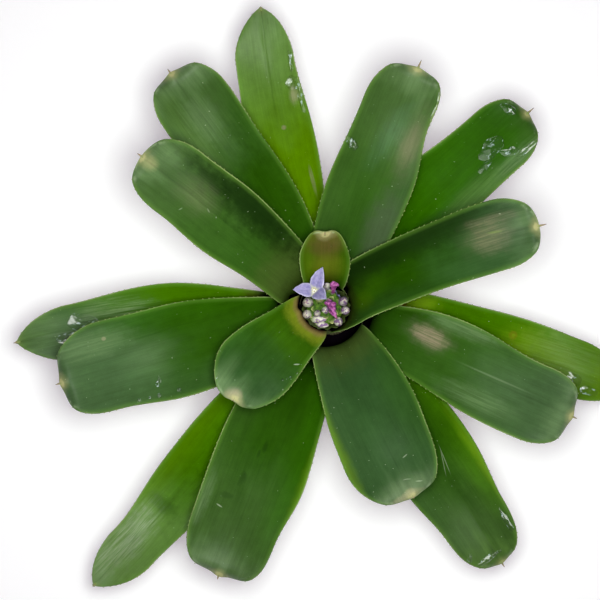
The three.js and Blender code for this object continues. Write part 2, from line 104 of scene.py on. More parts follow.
# Lean of a sheath's rim by rank: how far in, and between which bearings from its own heading it is
# free to. The third sheath also wraps further round the head with its right margin.
RIM_LEANS = {1: (1.9, -33, 146), 2: (2.7, -128, 12), 3: (3.5, -38, 24)}
LEAN_FADE = 12  # degrees over which the lean fades in and out
LEAN_RISE = 20  # of wall over which it grows, and of blade before it goes and while it does
LEAN_HOLD = 3
LEAN_FALL = 18
NECK_WRAPS = {2: 16}
NECK_SPREAD = 13

# Relief of a blade that only its looks need.
LOBE_DROP = 2.6  # how far the rounded lobes beside the spine roll down
LOBE_ZONE = 13
WAVE_HEIGHT = 0.45  # slow ripples of the margins
WAVE_LENGTH = 46
WAVE_START = 30  # past the wall
WAVE_LAG = 1.2  # of one margin's ripples behind the other's, each way
KEEL_DEPTH = 2.2  # of the fold along the middle of a pointed end
KEEL_WIDTH = 3.5
KEEL_START = 0.55  # share of the blade
KEEL_LENGTH = 0.4
PRICKLE_PITCH = 3.2
PRICKLE_JITTER = 0.8
PRICKLE_HEIGHT = 0.6
PRICKLE_START = 26  # past the wall, or this share of a short blade
PRICKLE_SHARE = 0.3
PRICKLE_END = 6  # short of the tip

# The fields mean what they do in the part: bearing of the blade, its sideways swing by the tip,
# plan distance of the tip, widest width, width at the sheath as a share of it, slope past the
# shoulder, slope near the tip, and 0 for a blunt end to 1 for a pointed one. left and right are
# the swells of the two margins, each near the sheath and near the tip.
Leaf = namedtuple("Leaf", "heading sway reach width neck rise fall point left right")
LEAVES = [Leaf(*row) for row in [
    (91, 0, 40.5, 27.5, 0.78, 48, 34, 0.1, (0, 0), (0, -1)),
    (214, 26, 69.5, 41, 0.79, 42, 12, 0, (-1.5, 0), (-3.5, 1.5)),
    (27.5, -15, 117.5, 34.5, 0.96, 34, 2, 0, (0, 2), (0, 0.5)),
    (138.5, 5.5, 124, 43, 0.74, 32, -2, 0, (-3, -3), (0, -1)),
    (292.5, 5.5, 111.5, 50.5, 0.65, 26, -10, 0, (1.5, -2), (-1, 1.5)),
    (70, -2.5, 135.5, 44, 0.79, 26, -8, 0, (2.5, -1), (0.5, -5)),
    (196, 0, 148.5, 50, 0.5, 20, -14, 0, (3.5, -3), (1.5, 1.5)),
    (335.5, 1.5, 146, 44.5, 0.62, 18, -16, 0, (4.5, -2.5), (-3, 0.5)),
    (121, 6.5, 152, 38, 0.8, 16, -14, 0, (0.5, 2), (3, 2)),
    (248, 1, 159, 55, 0.72, 12, -20, 0, (-1.5, -5), (1.5, -1)),
    (46, -6, 154.5, 39.5, 0.81, 12, -16, 0.1, (5.5, -1), (1, 0)),
    (183, 9.5, 172.5, 34.5, 0.58, 8, -22, 1, (0.5, -1.5), (4, -2.5)),
    (306, -3.5, 176.5, 48, 0.8, 5, -26, 0.4, (1.5, -4.5), (0.5, -4.5)),
    (105.5, -9.5, 172.5, 34.5, 0.76, 4, -22, 0.9, (6, 0.5), (2.5, -2.5)),
    (233, -7, 207, 36, 0.81, 2, -24, 1, (2.5, -2.5), (2.5, -4.5)),
    (347.5, -7.5, 178, 40, 1, 0, -26, 0.8, (-0.5, -2.5), (0, -4.5)),
]]
SWELLS = [(0.35, 0.2), (0.78, 0.16)]  # middle and spread of each, as shares of the blade

# Flower head
SCAPE_RADIUS = 7
CORE_RADIUS = 11.6
CORE_TOP = 68
Bud = namedtuple("Bud", "bearing distance lean turn length radius")
BUDS = [Bud(*row) for row in [
    (86, 9.4, 34, 0, 11, 2.3),
    (14, 9.6, 8, 40, 13, 2.6),
    (348, 10, 16, 20, 9, 2.3),
    (165, 8.8, 8, 0, 13, 2.8),
    (202, 9.6, 10, 0, 11, 2.4),
    (218, 11.2, 60, 142, 10, 2),
    (237, 11.6, 56, 121, 9, 1.8),
    (312, 9.2, 16, 0, 10, 2.4),
    (219, 4.6, 10, 0, 10, 1.8),
    (278, 1.5, 4, 0, 6, 2),
]]
BUD_PROFILE = ([0, 0.12, 0.3, 0.55, 0.8, 0.93, 1], [0.5, 0.74, 0.92, 1, 0.72, 0.42, 0.14])
BUD_ROWS = 25
BUD_SIDES = 30

# Bracts and withered petals of the head, each a small blade by bearing, distance, length, width and
# lean: those on top stand a golden angle apart, and those of the collar close the gap round it.
Scale = namedtuple("Scale", "bearing distance length width lean")
BRACTS = [Scale(n * 137.5, 3 + 5.4 * math.sqrt(n / 13), 6, 3.6, 12 + n) for n in range(14)]
COLLAR = [Scale(bearing, 10.4, length, 8, 22) for bearing, length in [
    (164, 5), (186, 6), (208, 6), (230, 6), (253, 6), (276, 6), (300, 7), (322, 8), (344, 8.5),
    (4, 9), (22, 9), (38, 7),
]]
HUSKS = [Scale(*row, 6, 3.6, 6) for row in [(38, 9.4), (58, 10), (74, 9.6)]]

# Open flower
FLOWER_BEARING = 124
TUBE_DISTANCE = 5
THROAT_DISTANCE = 10.8
THROAT_HEIGHT = 91
FLOWER_LEAN = 27
TUBE_RADIUS = 1.5
CALYX_RADIUS = 2.1
Petal = namedtuple("Petal", "bearing length phase")
PETALS = [Petal(-60, 13, 0), Petal(60, 11.2, 1.7), Petal(194, 11.3, 3.4)]
PETAL_WIDTH = 7.2
PETAL_RISE = 27
PETAL_THICKNESS = 0.6
STAMENS = 6

# Spent flowers
WISP_RADIUS = 1.7
Spent = namedtuple("Spent", "base tip size curl")
SPENT_FLOWERS = [
    Spent([1.6, 3.4, 68.5], [6.2, -6.2, 81], [0.6, 0.8, 1.15, 1.1, 0.75, 0.3], 0.6),
    Spent([4.4, 7.6, 68.4], [4.7, 15, 81.5], [0.4, 0.45, 0.4, 0.6, 1.3, 0.35], 0.4),
]

# ---- small maths


def mix(a, b, share):
    """The value that lies the given share of the way from a to b."""
    return a + (b - a) * share


def clamp(value):
    return np.clip(value, 0.0, 1.0)


def smooth(value):
    """0 below 0, 1 above 1, and an S-curve between."""
    return clamp(value) ** 2 * (3 - 2 * clamp(value))


def bell(value):
    """1 at 0, and falling away to both sides."""
    return np.exp(-(value ** 2))


def triples(*numbers):
    """Three arrays of numbers as one array of triples."""
    return np.stack(np.broadcast_arrays(*numbers), axis=-1)


def polar(radius, bearing, z):
    """Points at a radius and bearing round the plant's axis, at height z."""
    bearing = np.radians(bearing)
    return triples(radius * np.cos(bearing), radius * np.sin(bearing), z)


def moved(points, *moves):
    """Points that have gone some distance along each of several directions."""
    for direction, distance in moves:
        points = points + direction * np.asarray(distance)[..., None]
    return points


def turns(sides):
    """Even angles all the way round, in radians, as one row."""
    return np.linspace(0, 2 * np.pi, sides, endpoint=False)[None, :]


def shares(count, low=0):
    """Even steps from low to 1, as one column."""
    return np.linspace(low, 1, count)[:, None]


def axis_distance(points):
    return np.hypot(points[..., 0], points[..., 1])


def stepped(start, heading, slope, stride):
    """Places reached from a start, itself the first, by steps along each heading and slope."""
    steps = polar(np.cos(slope * RAD), heading, np.sin(slope * RAD)) * stride
    return start + np.cumsum(steps, axis=0) - steps


def unit(vectors):
    return vectors / np.maximum(np.linalg.norm(vectors, axis=-1, keepdims=True), 1e-9)


def grid_normals(grid):
    """Unit normals of a grid of points: the step along its rows crossed with the step across."""
    return unit(np.cross(np.gradient(grid, axis=0), np.gradient(grid, axis=1)))


# ---- meshes

Body = namedtuple("Body", "points faces values")
UP = np.array([0.0, 0.0, 1.0])


def ring_body(rings, **values):
    """A closed body from rings of points, shape (rings, sides, 3): quads join each ring to the
    next, and a fan to its own centre closes each end. values are arrays of the same shape that go
    with the points; an end's centre takes its ring's mean."""
    count, sides = rings.shape[:2]
    side = np.arange(sides)
    beside = np.roll(side, -1)
    starts = np.arange(count - 1)[:, None] * sides
    first, second = (starts + side).ravel(), (starts + beside).ravel()
    quads = np.stack([first, second, second + sides, first + sides], axis=-1)
    top, middle = (count - 1) * sides, count * sides
    faces = [quads, triples(middle, beside, side), triples(middle + 1, top + side, top + beside)]

    def closed(array):
        return np.concatenate([array.reshape(-1, 3), array[[0, -1]].mean(axis=1)])

    points = closed(rings)
    a, b, c, d = (points[quads[:, n]] for n in range(4))
    volume = np.einsum("ij,ij->i", a, np.cross(b, c) + np.cross(c, d)).sum()
    turn = -1 if volume < 0 else 1
    faces = [face[::turn] for some in faces for face in some.tolist()]
    return Body(points, faces, {name: closed(array) for name, array in values.items()})


def shell_body(middle, half_thickness, **values):
    """A closed shell round a grid of points: each row becomes a ring that runs over the upper face
    and back under the lower one, half the thickness off the middle surface along its normal.
    The two faces share the outermost points of each row."""

    def around(upper, lower):
        return np.concatenate([upper, lower[:, -2:0:-1]], axis=1)

    lift = grid_normals(middle) * half_thickness[..., None]
    rings = around(middle + lift, middle - lift)
    rings[:, 0] = middle[:, 0]
    rings[:, middle.shape[1] - 1] = middle[:, -1]
    return ring_body(rings, **{name: around(array, array) for name, array in values.items()})


def tube_body(path, radii, sides, name, lobes=0.0, twist=0.0):
    """A round body along a path: at each point a ring square to the path, of the given radius,
    swollen by lobes in three places that turn by twist degrees from one end to the other. The
    named values are the shares along and round it."""
    along = unit(np.gradient(path, axis=0))
    across = unit(np.cross(UP, unit(path[1] - path[0])) + [1e-6, 0, 0])
    second = unit(np.cross(along, across))[:, None]
    first = np.cross(second, along[:, None])
    angle, share = turns(sides), shares(len(path))
    size = np.asarray(radii)[:, None] * (1 + lobes * np.cos(3 * angle + share * twist * RAD))
    rings = moved(path[:, None], (first, size * np.cos(angle)), (second, size * np.sin(angle)))
    return ring_body(rings, **{name: triples(share, angle / (2 * np.pi), 0)})


def joined(bodies):
    """Several bodies as one."""
    starts = np.cumsum([0] + [len(body.points) for body in bodies])
    points = np.concatenate([body.points for body in bodies])
    faces = [[n + at for n in face] for at, body in zip(starts, bodies) for face in body.faces]
    names = bodies[0].values
    return Body(points, faces, {n: np.concatenate([b.values[n] for b in bodies]) for n in names})


def add_object(name, data):
    """Puts a mesh, lamp or camera into the scene."""
    made = bpy.data.objects.new(name, data)
    bpy.context.scene.collection.objects.link(made)
    return made


def add_piece(name, body, node, material):
    """Puts a body into the scene as a piece that stands for a node of the part."""
    mesh = bpy.data.meshes.new(name)
    mesh.from_pydata((body.points * MM).tolist(), [], body.faces)
    for key, array in body.values.items():
        attribute = mesh.attributes.new(key, "FLOAT_VECTOR", "POINT")
        attribute.data.foreach_set("vector", np.ascontiguousarray(array, dtype=np.float32).ravel())
    mesh.shade_smooth()
    mesh.materials.append(material)
    piece = add_object(name, mesh)
    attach(piece, "root")
    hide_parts(node)


# ---- finishes: shader maths


def paint(code):
    """A colour from its six-digit sRGB code, as the linear colour that shaders take."""
    channels = [int(code[n:n + 2], 16) / 255 for n in (0, 2, 4)]
    return (*(c / 12.92 if c <= 0.04045 else ((c + 0.055) / 1.055) ** 2.4 for c in channels), 1.0)


class Value:
    """A socket that carries a number. Arithmetic on it adds Math nodes."""

    def __init__(self, finish, socket):
        self.finish, self.socket = finish, socket

    def math(self, operation, *others):
        """A Math node with this value first."""
        inputs = dict(enumerate((self, *others)))
        return self.finish.node("ShaderNodeMath", inputs, operation=operation)

    __add__ = __radd__ = partialmethod(math, "ADD")
    __mul__ = __rmul__ = partialmethod(math, "MULTIPLY")
    __sub__ = partialmethod(math, "SUBTRACT")
    __truediv__ = partialmethod(math, "DIVIDE")
    __pow__ = partialmethod(math, "POWER")
    __abs__ = partialmethod(math, "ABSOLUTE")

    def __rsub__(self, other):
        return self * -1 + other

    def step(self, low, high):
        """0 at low and 1 at high, with an S-curve between. low may be the larger of the two."""
        inputs = {"Value": self, "From Min": low, "From Max": high}
        return self.finish.node("ShaderNodeMapRange", inputs, interpolation_type="SMOOTHSTEP")


class Finish:
    """A material under construction. A colour in it is a value or a six-digit sRGB code."""

    def __init__(self, name, roughness=0.5):
        self.material = bpy.data.materials.new(name)
        self.material.use_nodes = True
        self.tree = self.material.node_tree
        self.shader = self.tree.nodes["Principled BSDF"]
        self.feed(self.shader, {"Roughness": roughness})

    def feed(self, node, inputs):
        """Links values into a node's sockets, and sets the others to plain numbers or colours."""
        for key, value in inputs.items():
            if isinstance(value, Value):
                self.tree.links.new(value.socket, node.inputs[key])
            else:
                node.inputs[key].default_value = paint(value) if isinstance(value, str) else value

    def node(self, kind, inputs=None, output=0, **settings):
        """Adds a node: its settings are set first, then its sockets."""
        made = self.tree.nodes.new(kind)
        for key, value in settings.items():
            setattr(made, key, value)
        self.feed(made, inputs or {})
        return Value(self, made.outputs[output])

    def attribute(self, name):
        """The three numbers that a mesh attribute holds."""
        return self.parts(self.node("ShaderNodeAttribute", output=1, attribute_name=name))

    def parts(self, vector):
        split = self.node("ShaderNodeSeparateXYZ", {0: vector}).socket.node
        return [Value(self, socket) for socket in split.outputs]

    def vector(self, x, y, z):
        return self.node("ShaderNodeCombineXYZ", {0: x, 1: y, 2: z})

    def place(self):
        """Object coordinates in millimetres."""
        inputs = {0: self.node("ShaderNodeTexCoord", output=3), 1: (1 / MM,) * 3}
        return self.node("ShaderNodeVectorMath", inputs, operation="MULTIPLY")

    def noise(self, vector, scale, detail=2.0, roughness=0.5):
        """Noise from 0 to 1 with this many grains to a unit of the vector."""
        inputs = {"Vector": vector, "Scale": scale, "Detail": detail, "Roughness": roughness}
        return self.node("ShaderNodeTexNoise", inputs)

    def blend(self, colour, *layers):
        """A colour with others laid over it in turn, each with the share that it takes."""
        for share, other in layers:
            inputs = {0: share, 6: colour, 7: other}
            settings = {"data_type": "RGBA", "clamp_factor": True}
            colour = self.node("ShaderNodeMix", inputs, output=2, **settings)
        return colour

    def bump(self, height, distance):
        """A bumped normal: height from 0 to 1 stands for this many millimetres."""
        inputs = {"Height": height, "Distance": distance * MM, "Strength": 1.0}
        return self.node("ShaderNodeBump", inputs)

    def done(self, colour, inputs=None):
        """Feeds the shader and returns the material."""
        self.feed(self.shader, {"Base Color": colour, **(inputs or {})})
        return self.material


# ---- leaf shape

ARC_STEPS = 24
REACH_ROUNDS = 8
OPENING_START, OPENING_LENGTH = 0.1, 0.5  # of the sheath's ring into the channel, as blade shares
PROBE = 0.4  # how far the skin is felt to each side for its normal


class Midline:
    """The middle line of a leaf: an arc off the stem, an upright wall and the blade, as a table of
    distance along it against place, heading and slope."""

    def __init__(self, leaf, rank):
        self.leaf, self.rank = leaf, rank
        inner = rank < INNER_SHEATHS
        first, pitch = (INNER_RADIUS, INNER_PITCH) if inner else (OUTER_RADIUS, OUTER_PITCH)
        self.radius = first + rank * pitch
        wall_length = RIM_HEIGHT - rank * RIM_STEP - AXIL_HEIGHT
        arc_radius = self.radius - STEM_RADIUS
        self.sheath_half = SHEATH_HALF_WIDTH + rank * SHEATH_WIDENING
        facet_depth = STEM_RADIUS * (1 - math.cos(self.sheath_half / self.radius / FACETS_ACROSS))
        root_gap = CLEARANCE + FACET_SLACK + facet_depth
        self.arc_length = arc_radius * math.pi / 2 - root_gap
        self.sheath_length = self.arc_length + wall_length
        self.tip_zone = leaf.width * mix(BLUNT_ZONE, POINT_ZONE, leaf.point)

        # The blade is made as long as it has to be for its tip to reach as far as it should.
        rim = polar(self.radius, leaf.heading, AXIL_HEIGHT + wall_length)
        length = leaf.reach - self.radius
        for _ in range(REACH_ROUNDS):
            short = leaf.reach - axis_distance(self.walk(rim, length)[0][-1])
            length += short / max(0.5, math.cos(leaf.fall * RAD))
        self.blade_length = length
        blade, heading, slope = self.walk(rim, length + 1)

        arc = np.linspace(0, self.arc_length, ARC_STEPS, endpoint=False)
        turn = (arc + root_gap) / arc_radius
        out, down = arc_radius * np.sin(turn), arc_radius * np.cos(turn)
        arc_place = polar(STEM_RADIUS + out, leaf.heading, AXIL_HEIGHT - down)
        foot = polar(self.radius, leaf.heading, AXIL_HEIGHT)
        blade_s = self.sheath_length + np.arange(len(blade))
        self.s = np.concatenate([arc, [self.arc_length], blade_s])
        self.columns = [
            *np.concatenate([arc_place, [foot], blade]).T,
            np.concatenate([np.full(ARC_STEPS + 1, leaf.heading), heading]),
            np.concatenate([turn / RAD, [90.0], slope]),
        ]

    def slope(self, s, length):
        """Slope of the blade: upright at the wall, turning over the shoulder to the leaf's rise,
        arching to its fall, and curling down at a blunt tip."""
        leaf = self.leaf
        turn = min(SHOULDER_LENGTH, SHOULDER_SHARE * length)
        arch = clamp((s - turn / 2) / (length - turn / 2)) ** ARCH_POWER
        curl = smooth((s / length - 1 + CURL_SHARE) / CURL_SHARE)
        past_shoulder = mix(leaf.rise, leaf.fall, arch)
        return mix(90, past_shoulder, smooth(s / turn)) - TIP_CURL * (1 - leaf.point) * curl

    def walk(self, start, length):
        """Steps of one millimetre from the wall's rim, each along the heading and slope there."""
        s = np.arange(0, math.floor(length) + 1)
        sway = self.leaf.sway * clamp((s / length - SWAY_START) / (1 - SWAY_START))
        heading = self.leaf.heading + sway
        slope = self.slope(s, length)
        return stepped(start, heading, slope, 1), heading, slope

    def at(self, s):
        """Place, heading and slope at distances s along the whole leaf."""
        found = [np.interp(s, self.s, column) for column in self.columns]
        return triples(*found[:3]), found[3], found[4]

    def half_width(self, past):
        """Half the blade's width: it swells from the neck to its widest, and closes at the tip on
        a curve that is rounder the blunter the leaf."""
        leaf, length = self.leaf, self.blade_length
        swell = mix(leaf.neck, 1, smooth(past / length / WIDEST_SHARE))
        share = clamp((past - length + self.tip_zone) / self.tip_zone)
        cap = (1 - share ** mix(*CAP_POWERS, leaf.point)) ** mix(*CAP_ROOTS, leaf.point)
        return np.maximum(SPINE_RADIUS, leaf.width / 2 * swell * cap)

    def swell(self, past, share):
        """Factor by which a margin stands out beyond an even blade, or falls short of it: one bell
        near the sheath and one near the tip, for the side that share is on."""
        near, far = (bell((past / self.blade_length - at) / spread) for at, spread in SWELLS)
        left, right = (side[0] * near + side[1] * far for side in (self.leaf.left, self.leaf.right))
        wrap = NECK_WRAPS.get(self.rank, 0) * bell(past / NECK_SPREAD)
        return 1 + np.where(share < 0, right + wrap, left) / (self.leaf.width / 2)

    def row_half(self, past):
        """Half the width of the whole leaf: the blade's, wrapping out to the sheath's."""
        s = past + self.sheath_length
        blade_half = self.half_width(np.maximum(0, past))
        wall_half = mix(blade_half, self.sheath_half, smooth((WRAP_LAP - past) / WRAP_LENGTH))
        radius = axis_distance(self.at(s)[0])
        return np.where(s < self.arc_length, wall_half * radius / self.radius, wall_half)

    def surface(self, past, across):
        """Points of the middle surface: a circular arc of the given arc length across is laid
        square to the middle line. In the sheath it is a level ring round the plant's axis, and
        along the blade it turns square to the blade and flattens into a shallow channel. Near a
        blunt tip the middle is drawn back into a notch."""
        past, across = np.broadcast_arrays(past, across)
        s = past + self.sheath_length
        opening = smooth((past / self.blade_length - OPENING_START) / OPENING_LENGTH)
        bend = mix(1 / axis_distance(self.at(s)[0]), 1 / CHANNEL_RADIUS, opening)
        near_tip = smooth((past - self.blade_length + self.tip_zone) / self.tip_zone)
        notch = NOTCH_DEPTH * (1 - self.leaf.point) * near_tip * bell(across / NOTCH_WIDTH)
        place, heading, slope = self.at(s - notch)
        side, inward = polar(1, heading + 90, 0), polar(-1, heading, 0)
        upper = polar(-np.sin(slope * RAD), heading, np.cos(slope * RAD))
        hollow = unit(mix(inward, upper, opening[..., None]))
        turn = across * bend
        points = moved(place, (side, np.sin(turn) / bend), (hollow, (1 - np.cos(turn)) / bend))
        return points - self.rim_lean(points, past)

    def skin(self, past, across):
        """Points of the upper face, and the unit normals there."""
        ahead = self.surface(past + PROBE, across) - self.surface(past - PROBE, across)
        aside = self.surface(past, across + PROBE) - self.surface(past, across - PROBE)
        normal = unit(np.cross(ahead, aside))
        half = self.row_half(past) * self.swell(past, across)
        thickness = mix(MIDDLE_THICKNESS, EDGE_THICKNESS, clamp(np.abs(across) / half) ** 2)
        lift = self.relief(past, across, half) + thickness / 2
        return moved(self.surface(past, across), (normal, lift)), normal

    def rim_lean(self, points, past):
        """How far the rim of the cup leans inwards where no other sheath stands inside it: most at
        the rim, and nothing at the foot of the wall or out on the blade."""
        lean, start, end = RIM_LEANS.get(self.rank, (0, -180, 180))
        bearing = np.degrees(np.arctan2(points[..., 1], points[..., 0]))
        turn = (bearing - self.leaf.heading + 180) % 360 - 180
        free = smooth((turn - start) / LEAN_FADE) * smooth((end - turn) / LEAN_FADE)
        rise = smooth((past + LEAN_RISE) / LEAN_RISE) * (1 - smooth((past - LEAN_HOLD) / LEAN_FALL))
        return polar(1, bearing, 0) * (lean * free * rise)[..., None]

    def relief(self, past, across, half):
        """How far the blade stands off that surface: its margins ripple, the lobes beside a blunt
        tip roll down, and a pointed end folds along its middle."""
        share, point, length = across / half, self.leaf.point, self.blade_length
        free = smooth((past - WAVE_START) / WAVE_START)
        to_tip = smooth((past - length + LOBE_ZONE) / LOBE_ZONE)
        phase = self.leaf.heading * RAD
        ripple = np.sin(2 * np.pi * past / WAVE_LENGTH + phase + WAVE_LAG * np.sign(share))
        wave = WAVE_HEIGHT * free * (1 - to_tip) * np.abs(share) ** 3 * ripple
        roll = -LOBE_DROP * (1 - point) * to_tip ** 2 * (1 - bell(across / NOTCH_WIDTH))
        end = smooth((past - length * KEEL_START) / (length * KEEL_LENGTH))
        fold = -KEEL_DEPTH * point * end * np.exp(-np.abs(across) / KEEL_WIDTH)
        return wave + roll + fold


BODY_STEP = 1.5  # between rows of a blade, mm
ARC_ROWS = 12
WALL_ROWS = 10
TIP_ROWS = 40
COLUMNS = 41
CROWDING = 0.6  # of the columns towards the margins, from 0 for even ones
THICKENING = 8  # mm over which the sheath takes on the blade's thickness


def leaf_body(line):
    """A leaf as a closed shell with thin rounded margins, its rows closer together towards the tip
    and its columns towards the margins. leaf_mm holds the distances across, past the wall and in
    from the margin, and leaf_share the shares across and along, and 1 on the upper face or 0 on
    the lower."""
    wall = line.sheath_length
    body_length = line.blade_length - line.tip_zone
    past = np.concatenate([
        np.linspace(0, line.arc_length, ARC_ROWS, endpoint=False) - wall,
        np.linspace(line.arc_length, wall, WALL_ROWS, endpoint=False) - wall,
        np.linspace(0, body_length, int(body_length / BODY_STEP), endpoint=False),
        body_length + line.tip_zone * np.sin(np.linspace(0, np.pi / 2, TIP_ROWS)),
    ])[:, None]
    even = shares(COLUMNS, -1).T
    share = mix(even, np.sin(even * np.pi / 2), CROWDING)
    half = line.row_half(past) * line.swell(past, share)
    across = share * half
    base = line.surface(past, across)
    middle = moved(base, (grid_normals(base), line.relief(past, across, half)))
    blade = mix(MIDDLE_THICKNESS, EDGE_THICKNESS, share ** 2)
    thickness = mix(SHEATH_THICKNESS, blade, smooth(past / THICKENING))
    body = shell_body(
        middle,
        thickness / 2 * np.sqrt(1 - np.abs(share) ** 16),
        leaf_mm=triples(across, past, half * (1 - np.abs(share))),
        leaf_share=triples(share, past / line.blade_length, 0),
    )
    upper = np.tile(np.arange(2 * COLUMNS - 2) < COLUMNS, len(past))
    body.values["leaf_share"][: len(upper), 2] = upper
    return body


def prickle_bodies(line, random):
    """Marginal prickles, each a flattened cone of four rings of four points, hooked towards the
    tip. All those of a margin are worked out together."""
    first = min(PRICKLE_START, PRICKLE_SHARE * line.blade_length)
    last = line.blade_length - PRICKLE_END
    count = int((last - first) / PRICKLE_PITCH)
    even = np.linspace(first, last, count)
    corner = np.array([[1, 0], [0, 1], [-1, 0], [0, -1]])
    level = np.array([0.0, 0.45, 0.8, 1.0])
    long = np.array([0.75, 0.4, 0.16, 0.02])[:, None] * corner[:, 0]
    deep = np.array([0.22, 0.16, 0.08, 0.02])[:, None] * corner[:, 1]
    tone = triples(0.35 * level[:, None], 0 * corner[:, 0], 0)
    bodies = []
    for side in (-1, 1):
        past = even + random.uniform(-PRICKLE_JITTER, PRICKLE_JITTER, count)
        height = PRICKLE_HEIGHT * random.uniform(0.65, 1.0, count)[:, None]

        def margin(at, share):
            width = line.row_half(at) * line.swell(at, side)
            across = side * share * width
            return moved(line.surface(at, across), (UP, line.relief(at, across, width)))

        foot = margin(past, 0.992)
        forward = unit(margin(past + 0.5, 0.992) - foot)[:, None]
        outward = unit(foot - margin(past, 0.96))[:, None]
        normal = unit(np.cross(forward, outward))
        rise, hook = height * (level - 0.12), height * (0.9 * level ** 1.6)
        middle = moved(foot[:, None], (outward, rise), (forward, hook))
        rings = moved(middle[:, :, None], (forward[:, None], long), (normal[:, None], deep))
        bodies += [ring_body(prickle, spine=tone) for prickle in rings]
    return bodies


def spine_body(line):
    """The hooked spine of a leaf's tip: a tapered round body whose pitch rises by steps."""
    end = line.sheath_length + line.blade_length - NOTCH_DEPTH
    start, heading, slope = line.at(end - SPINE_ROOT)
    share = np.linspace(0, 1, 13)
    length = SPINE_LENGTH * SPINES.get(line.rank, USUAL_SPINE) + SPINE_ROOT
    path = stepped(start, heading, slope + SPINE_LIFT * share, length / 12)
    radii = SPINE_RADIUS * np.interp(share, [0, 0.2, 0.5, 0.8, 1], [0.6, 0.8, 0.6, 0.36, 0.1])
    return tube_body(path, radii, 10, "spine")


# ---- leaf finishes

COAT_ROUGHNESS = 0.3
WATER_ROUGHNESS = 0.16
DRY_SHADE = 0.84  # how bright a dry leaf's greens are, and a wet one's
WET_SHADE = 0.78
# painted shade: the factor by which the green darkens towards the cup
BASE_SHADE = 0.78  # how much darker the green is near the cup

# Greens of the blades, from the darkest to the palest.
INK = "152c09"
DEEP = "204600"
SHADE = "2a520a"
PINE = "305026"
GRASS = "2b5c00"
LEAF = "325818"
MOSS = "3c5c24"
FRESH = "3f6e00"
SAGE = "426036"
FERN = "4a673e"
OLIVE = "44500d"
# dark olive-brown: real browning at the foot of leaf 12, and painted shade at the mouth of the cup
# on leaves 3 and 4
UMBER_AND_SHADE = "30300f"
LIME = "527c00"
MEADOW = "648a3e"
BRIGHT = "6c9214"
TIP = "6e8a5c"
# partly grey scurf and partly painted sheen: the palest tips, and the pale marks of sheen
PALE_SHEEN = "789664"

# Colours of the marks that age, scratches and damp have left, and of painted sheens and painted
# reflections.
BROWN = "5c5026"
RUST = "7a4e14"
RIM_YELLOW = "a0b42c"
RIM_STRAW = "c2ae60"
RIM_TAN = "9c8553"
RIM_BROWN = "6c5238"
RIM_MAUVE = "54303c"
TAN = "978c70"
DRY_GREEN = "707a54"
# painted sheen: mauve-grey, near the foot of a blade
MAUVE_SHEEN = "55624a"
# painted sheen: pale teal, over the middle of a blade
TEAL_SHEEN = "5a8662"
# partly the silvery scurf of the blades and partly painted sheen; also the painted highlight on the
# lobes
SILVER_SHEEN = "94aa80"
SCRATCH = "b6c6a4"
# painted reflection: pale blotches on the films of water, where they would mirror the lamps
SHEEN = "b4ccc6"
CREAM = "c8c29a"
BLUSH = "ccb8a4"

# partly the dark purple of the sheath and its water, deepened to near-black as painted shade of the
# axil
AXIL_DARK = "0c070d"
FOOT_DARK = "241f0e"
FOOT_OLIVE = "536a2c"
UNDER_PALE = "7f9a58"
UNDER_SCALE = "b9c4a4"
SHEATH_PALE = "a7ac7c"
SHEATH_BROWN = "5a4030"
SPINE_CREAM = "c4be84"
MARGIN_GREEN = "5f8a30"
MARGIN_PALE = "98ae6a"

# Greens of a leaf near the sheath, over its middle, further out and at its tip, then the tint of
# its left and its right side with the share that each takes, how glossy its outer half is, and how
# dark the painted shade of a crease along its middle is.
Look = namedtuple("Look", "base main outer tip left right gloss crease")
LOOKS = [Look(*row) for row in [
    (OLIVE, OLIVE, OLIVE, OLIVE, (FRESH, 0.5), (GRASS, 0.7), 0.1, 0),
    (FRESH, LEAF, PINE, TIP, (SHADE, 0.3), (GRASS, 0.5), 0.1, 0),
    (SHADE, DEEP, PINE, TIP, (INK, 0.7), (PINE, 0.3), 0.15, 0.3),
    (SHADE, LEAF, MOSS, TIP, (LEAF, 0.3), (MOSS, 0.4), 0.15, 0.7),
    (PINE, PINE, PINE, TIP, (SHADE, 0.4), (SAGE, 0.3), 0.15, 0.4),
    (LEAF, LEAF, MOSS, TIP, (MOSS, 0.5), (FERN, 0.4), 0.2, 0),
    (SHADE, SHADE, SAGE, FERN, (SAGE, 0.4), (GRASS, 0.6), 0.2, 0),
    (SHADE, LEAF, SAGE, TIP, (LEAF, 0.4), (LEAF, 0.3), 0.3, 0.4),
    (SHADE, SHADE, MOSS, TIP, (FERN, 0.7), (SHADE, 0.8), 0.3, 0.5),
    (DEEP, SHADE, MOSS, TIP, (GRASS, 0.6), (MOSS, 0.4), 0.3, 0.3),
    (GRASS, GRASS, GRASS, MOSS, (GRASS, 0.7), (FERN, 0.5), 0.25, 0.2),
    (FRESH, FRESH, SAGE, MEADOW, (SAGE, 0.3), (FRESH, 0.6), 0.35, 0.4),
    (SHADE, SHADE, MOSS, MEADOW, (FRESH, 0.7), (SAGE, 0.3), 0.2, 0.2),
    (LIME, LIME, MEADOW, PALE_SHEEN, (LIME, 0.3), (LIME, 0.4), 0.5, 0.5),
    (SHADE, FRESH, MEADOW, PALE_SHEEN, (MOSS, 0.3), (LIME, 0.6), 0.5, 0.3),
    (FRESH, FRESH, LIME, BRIGHT, (FRESH, 0.4), (GRASS, 0.3), 0.5, 0.2),
]]
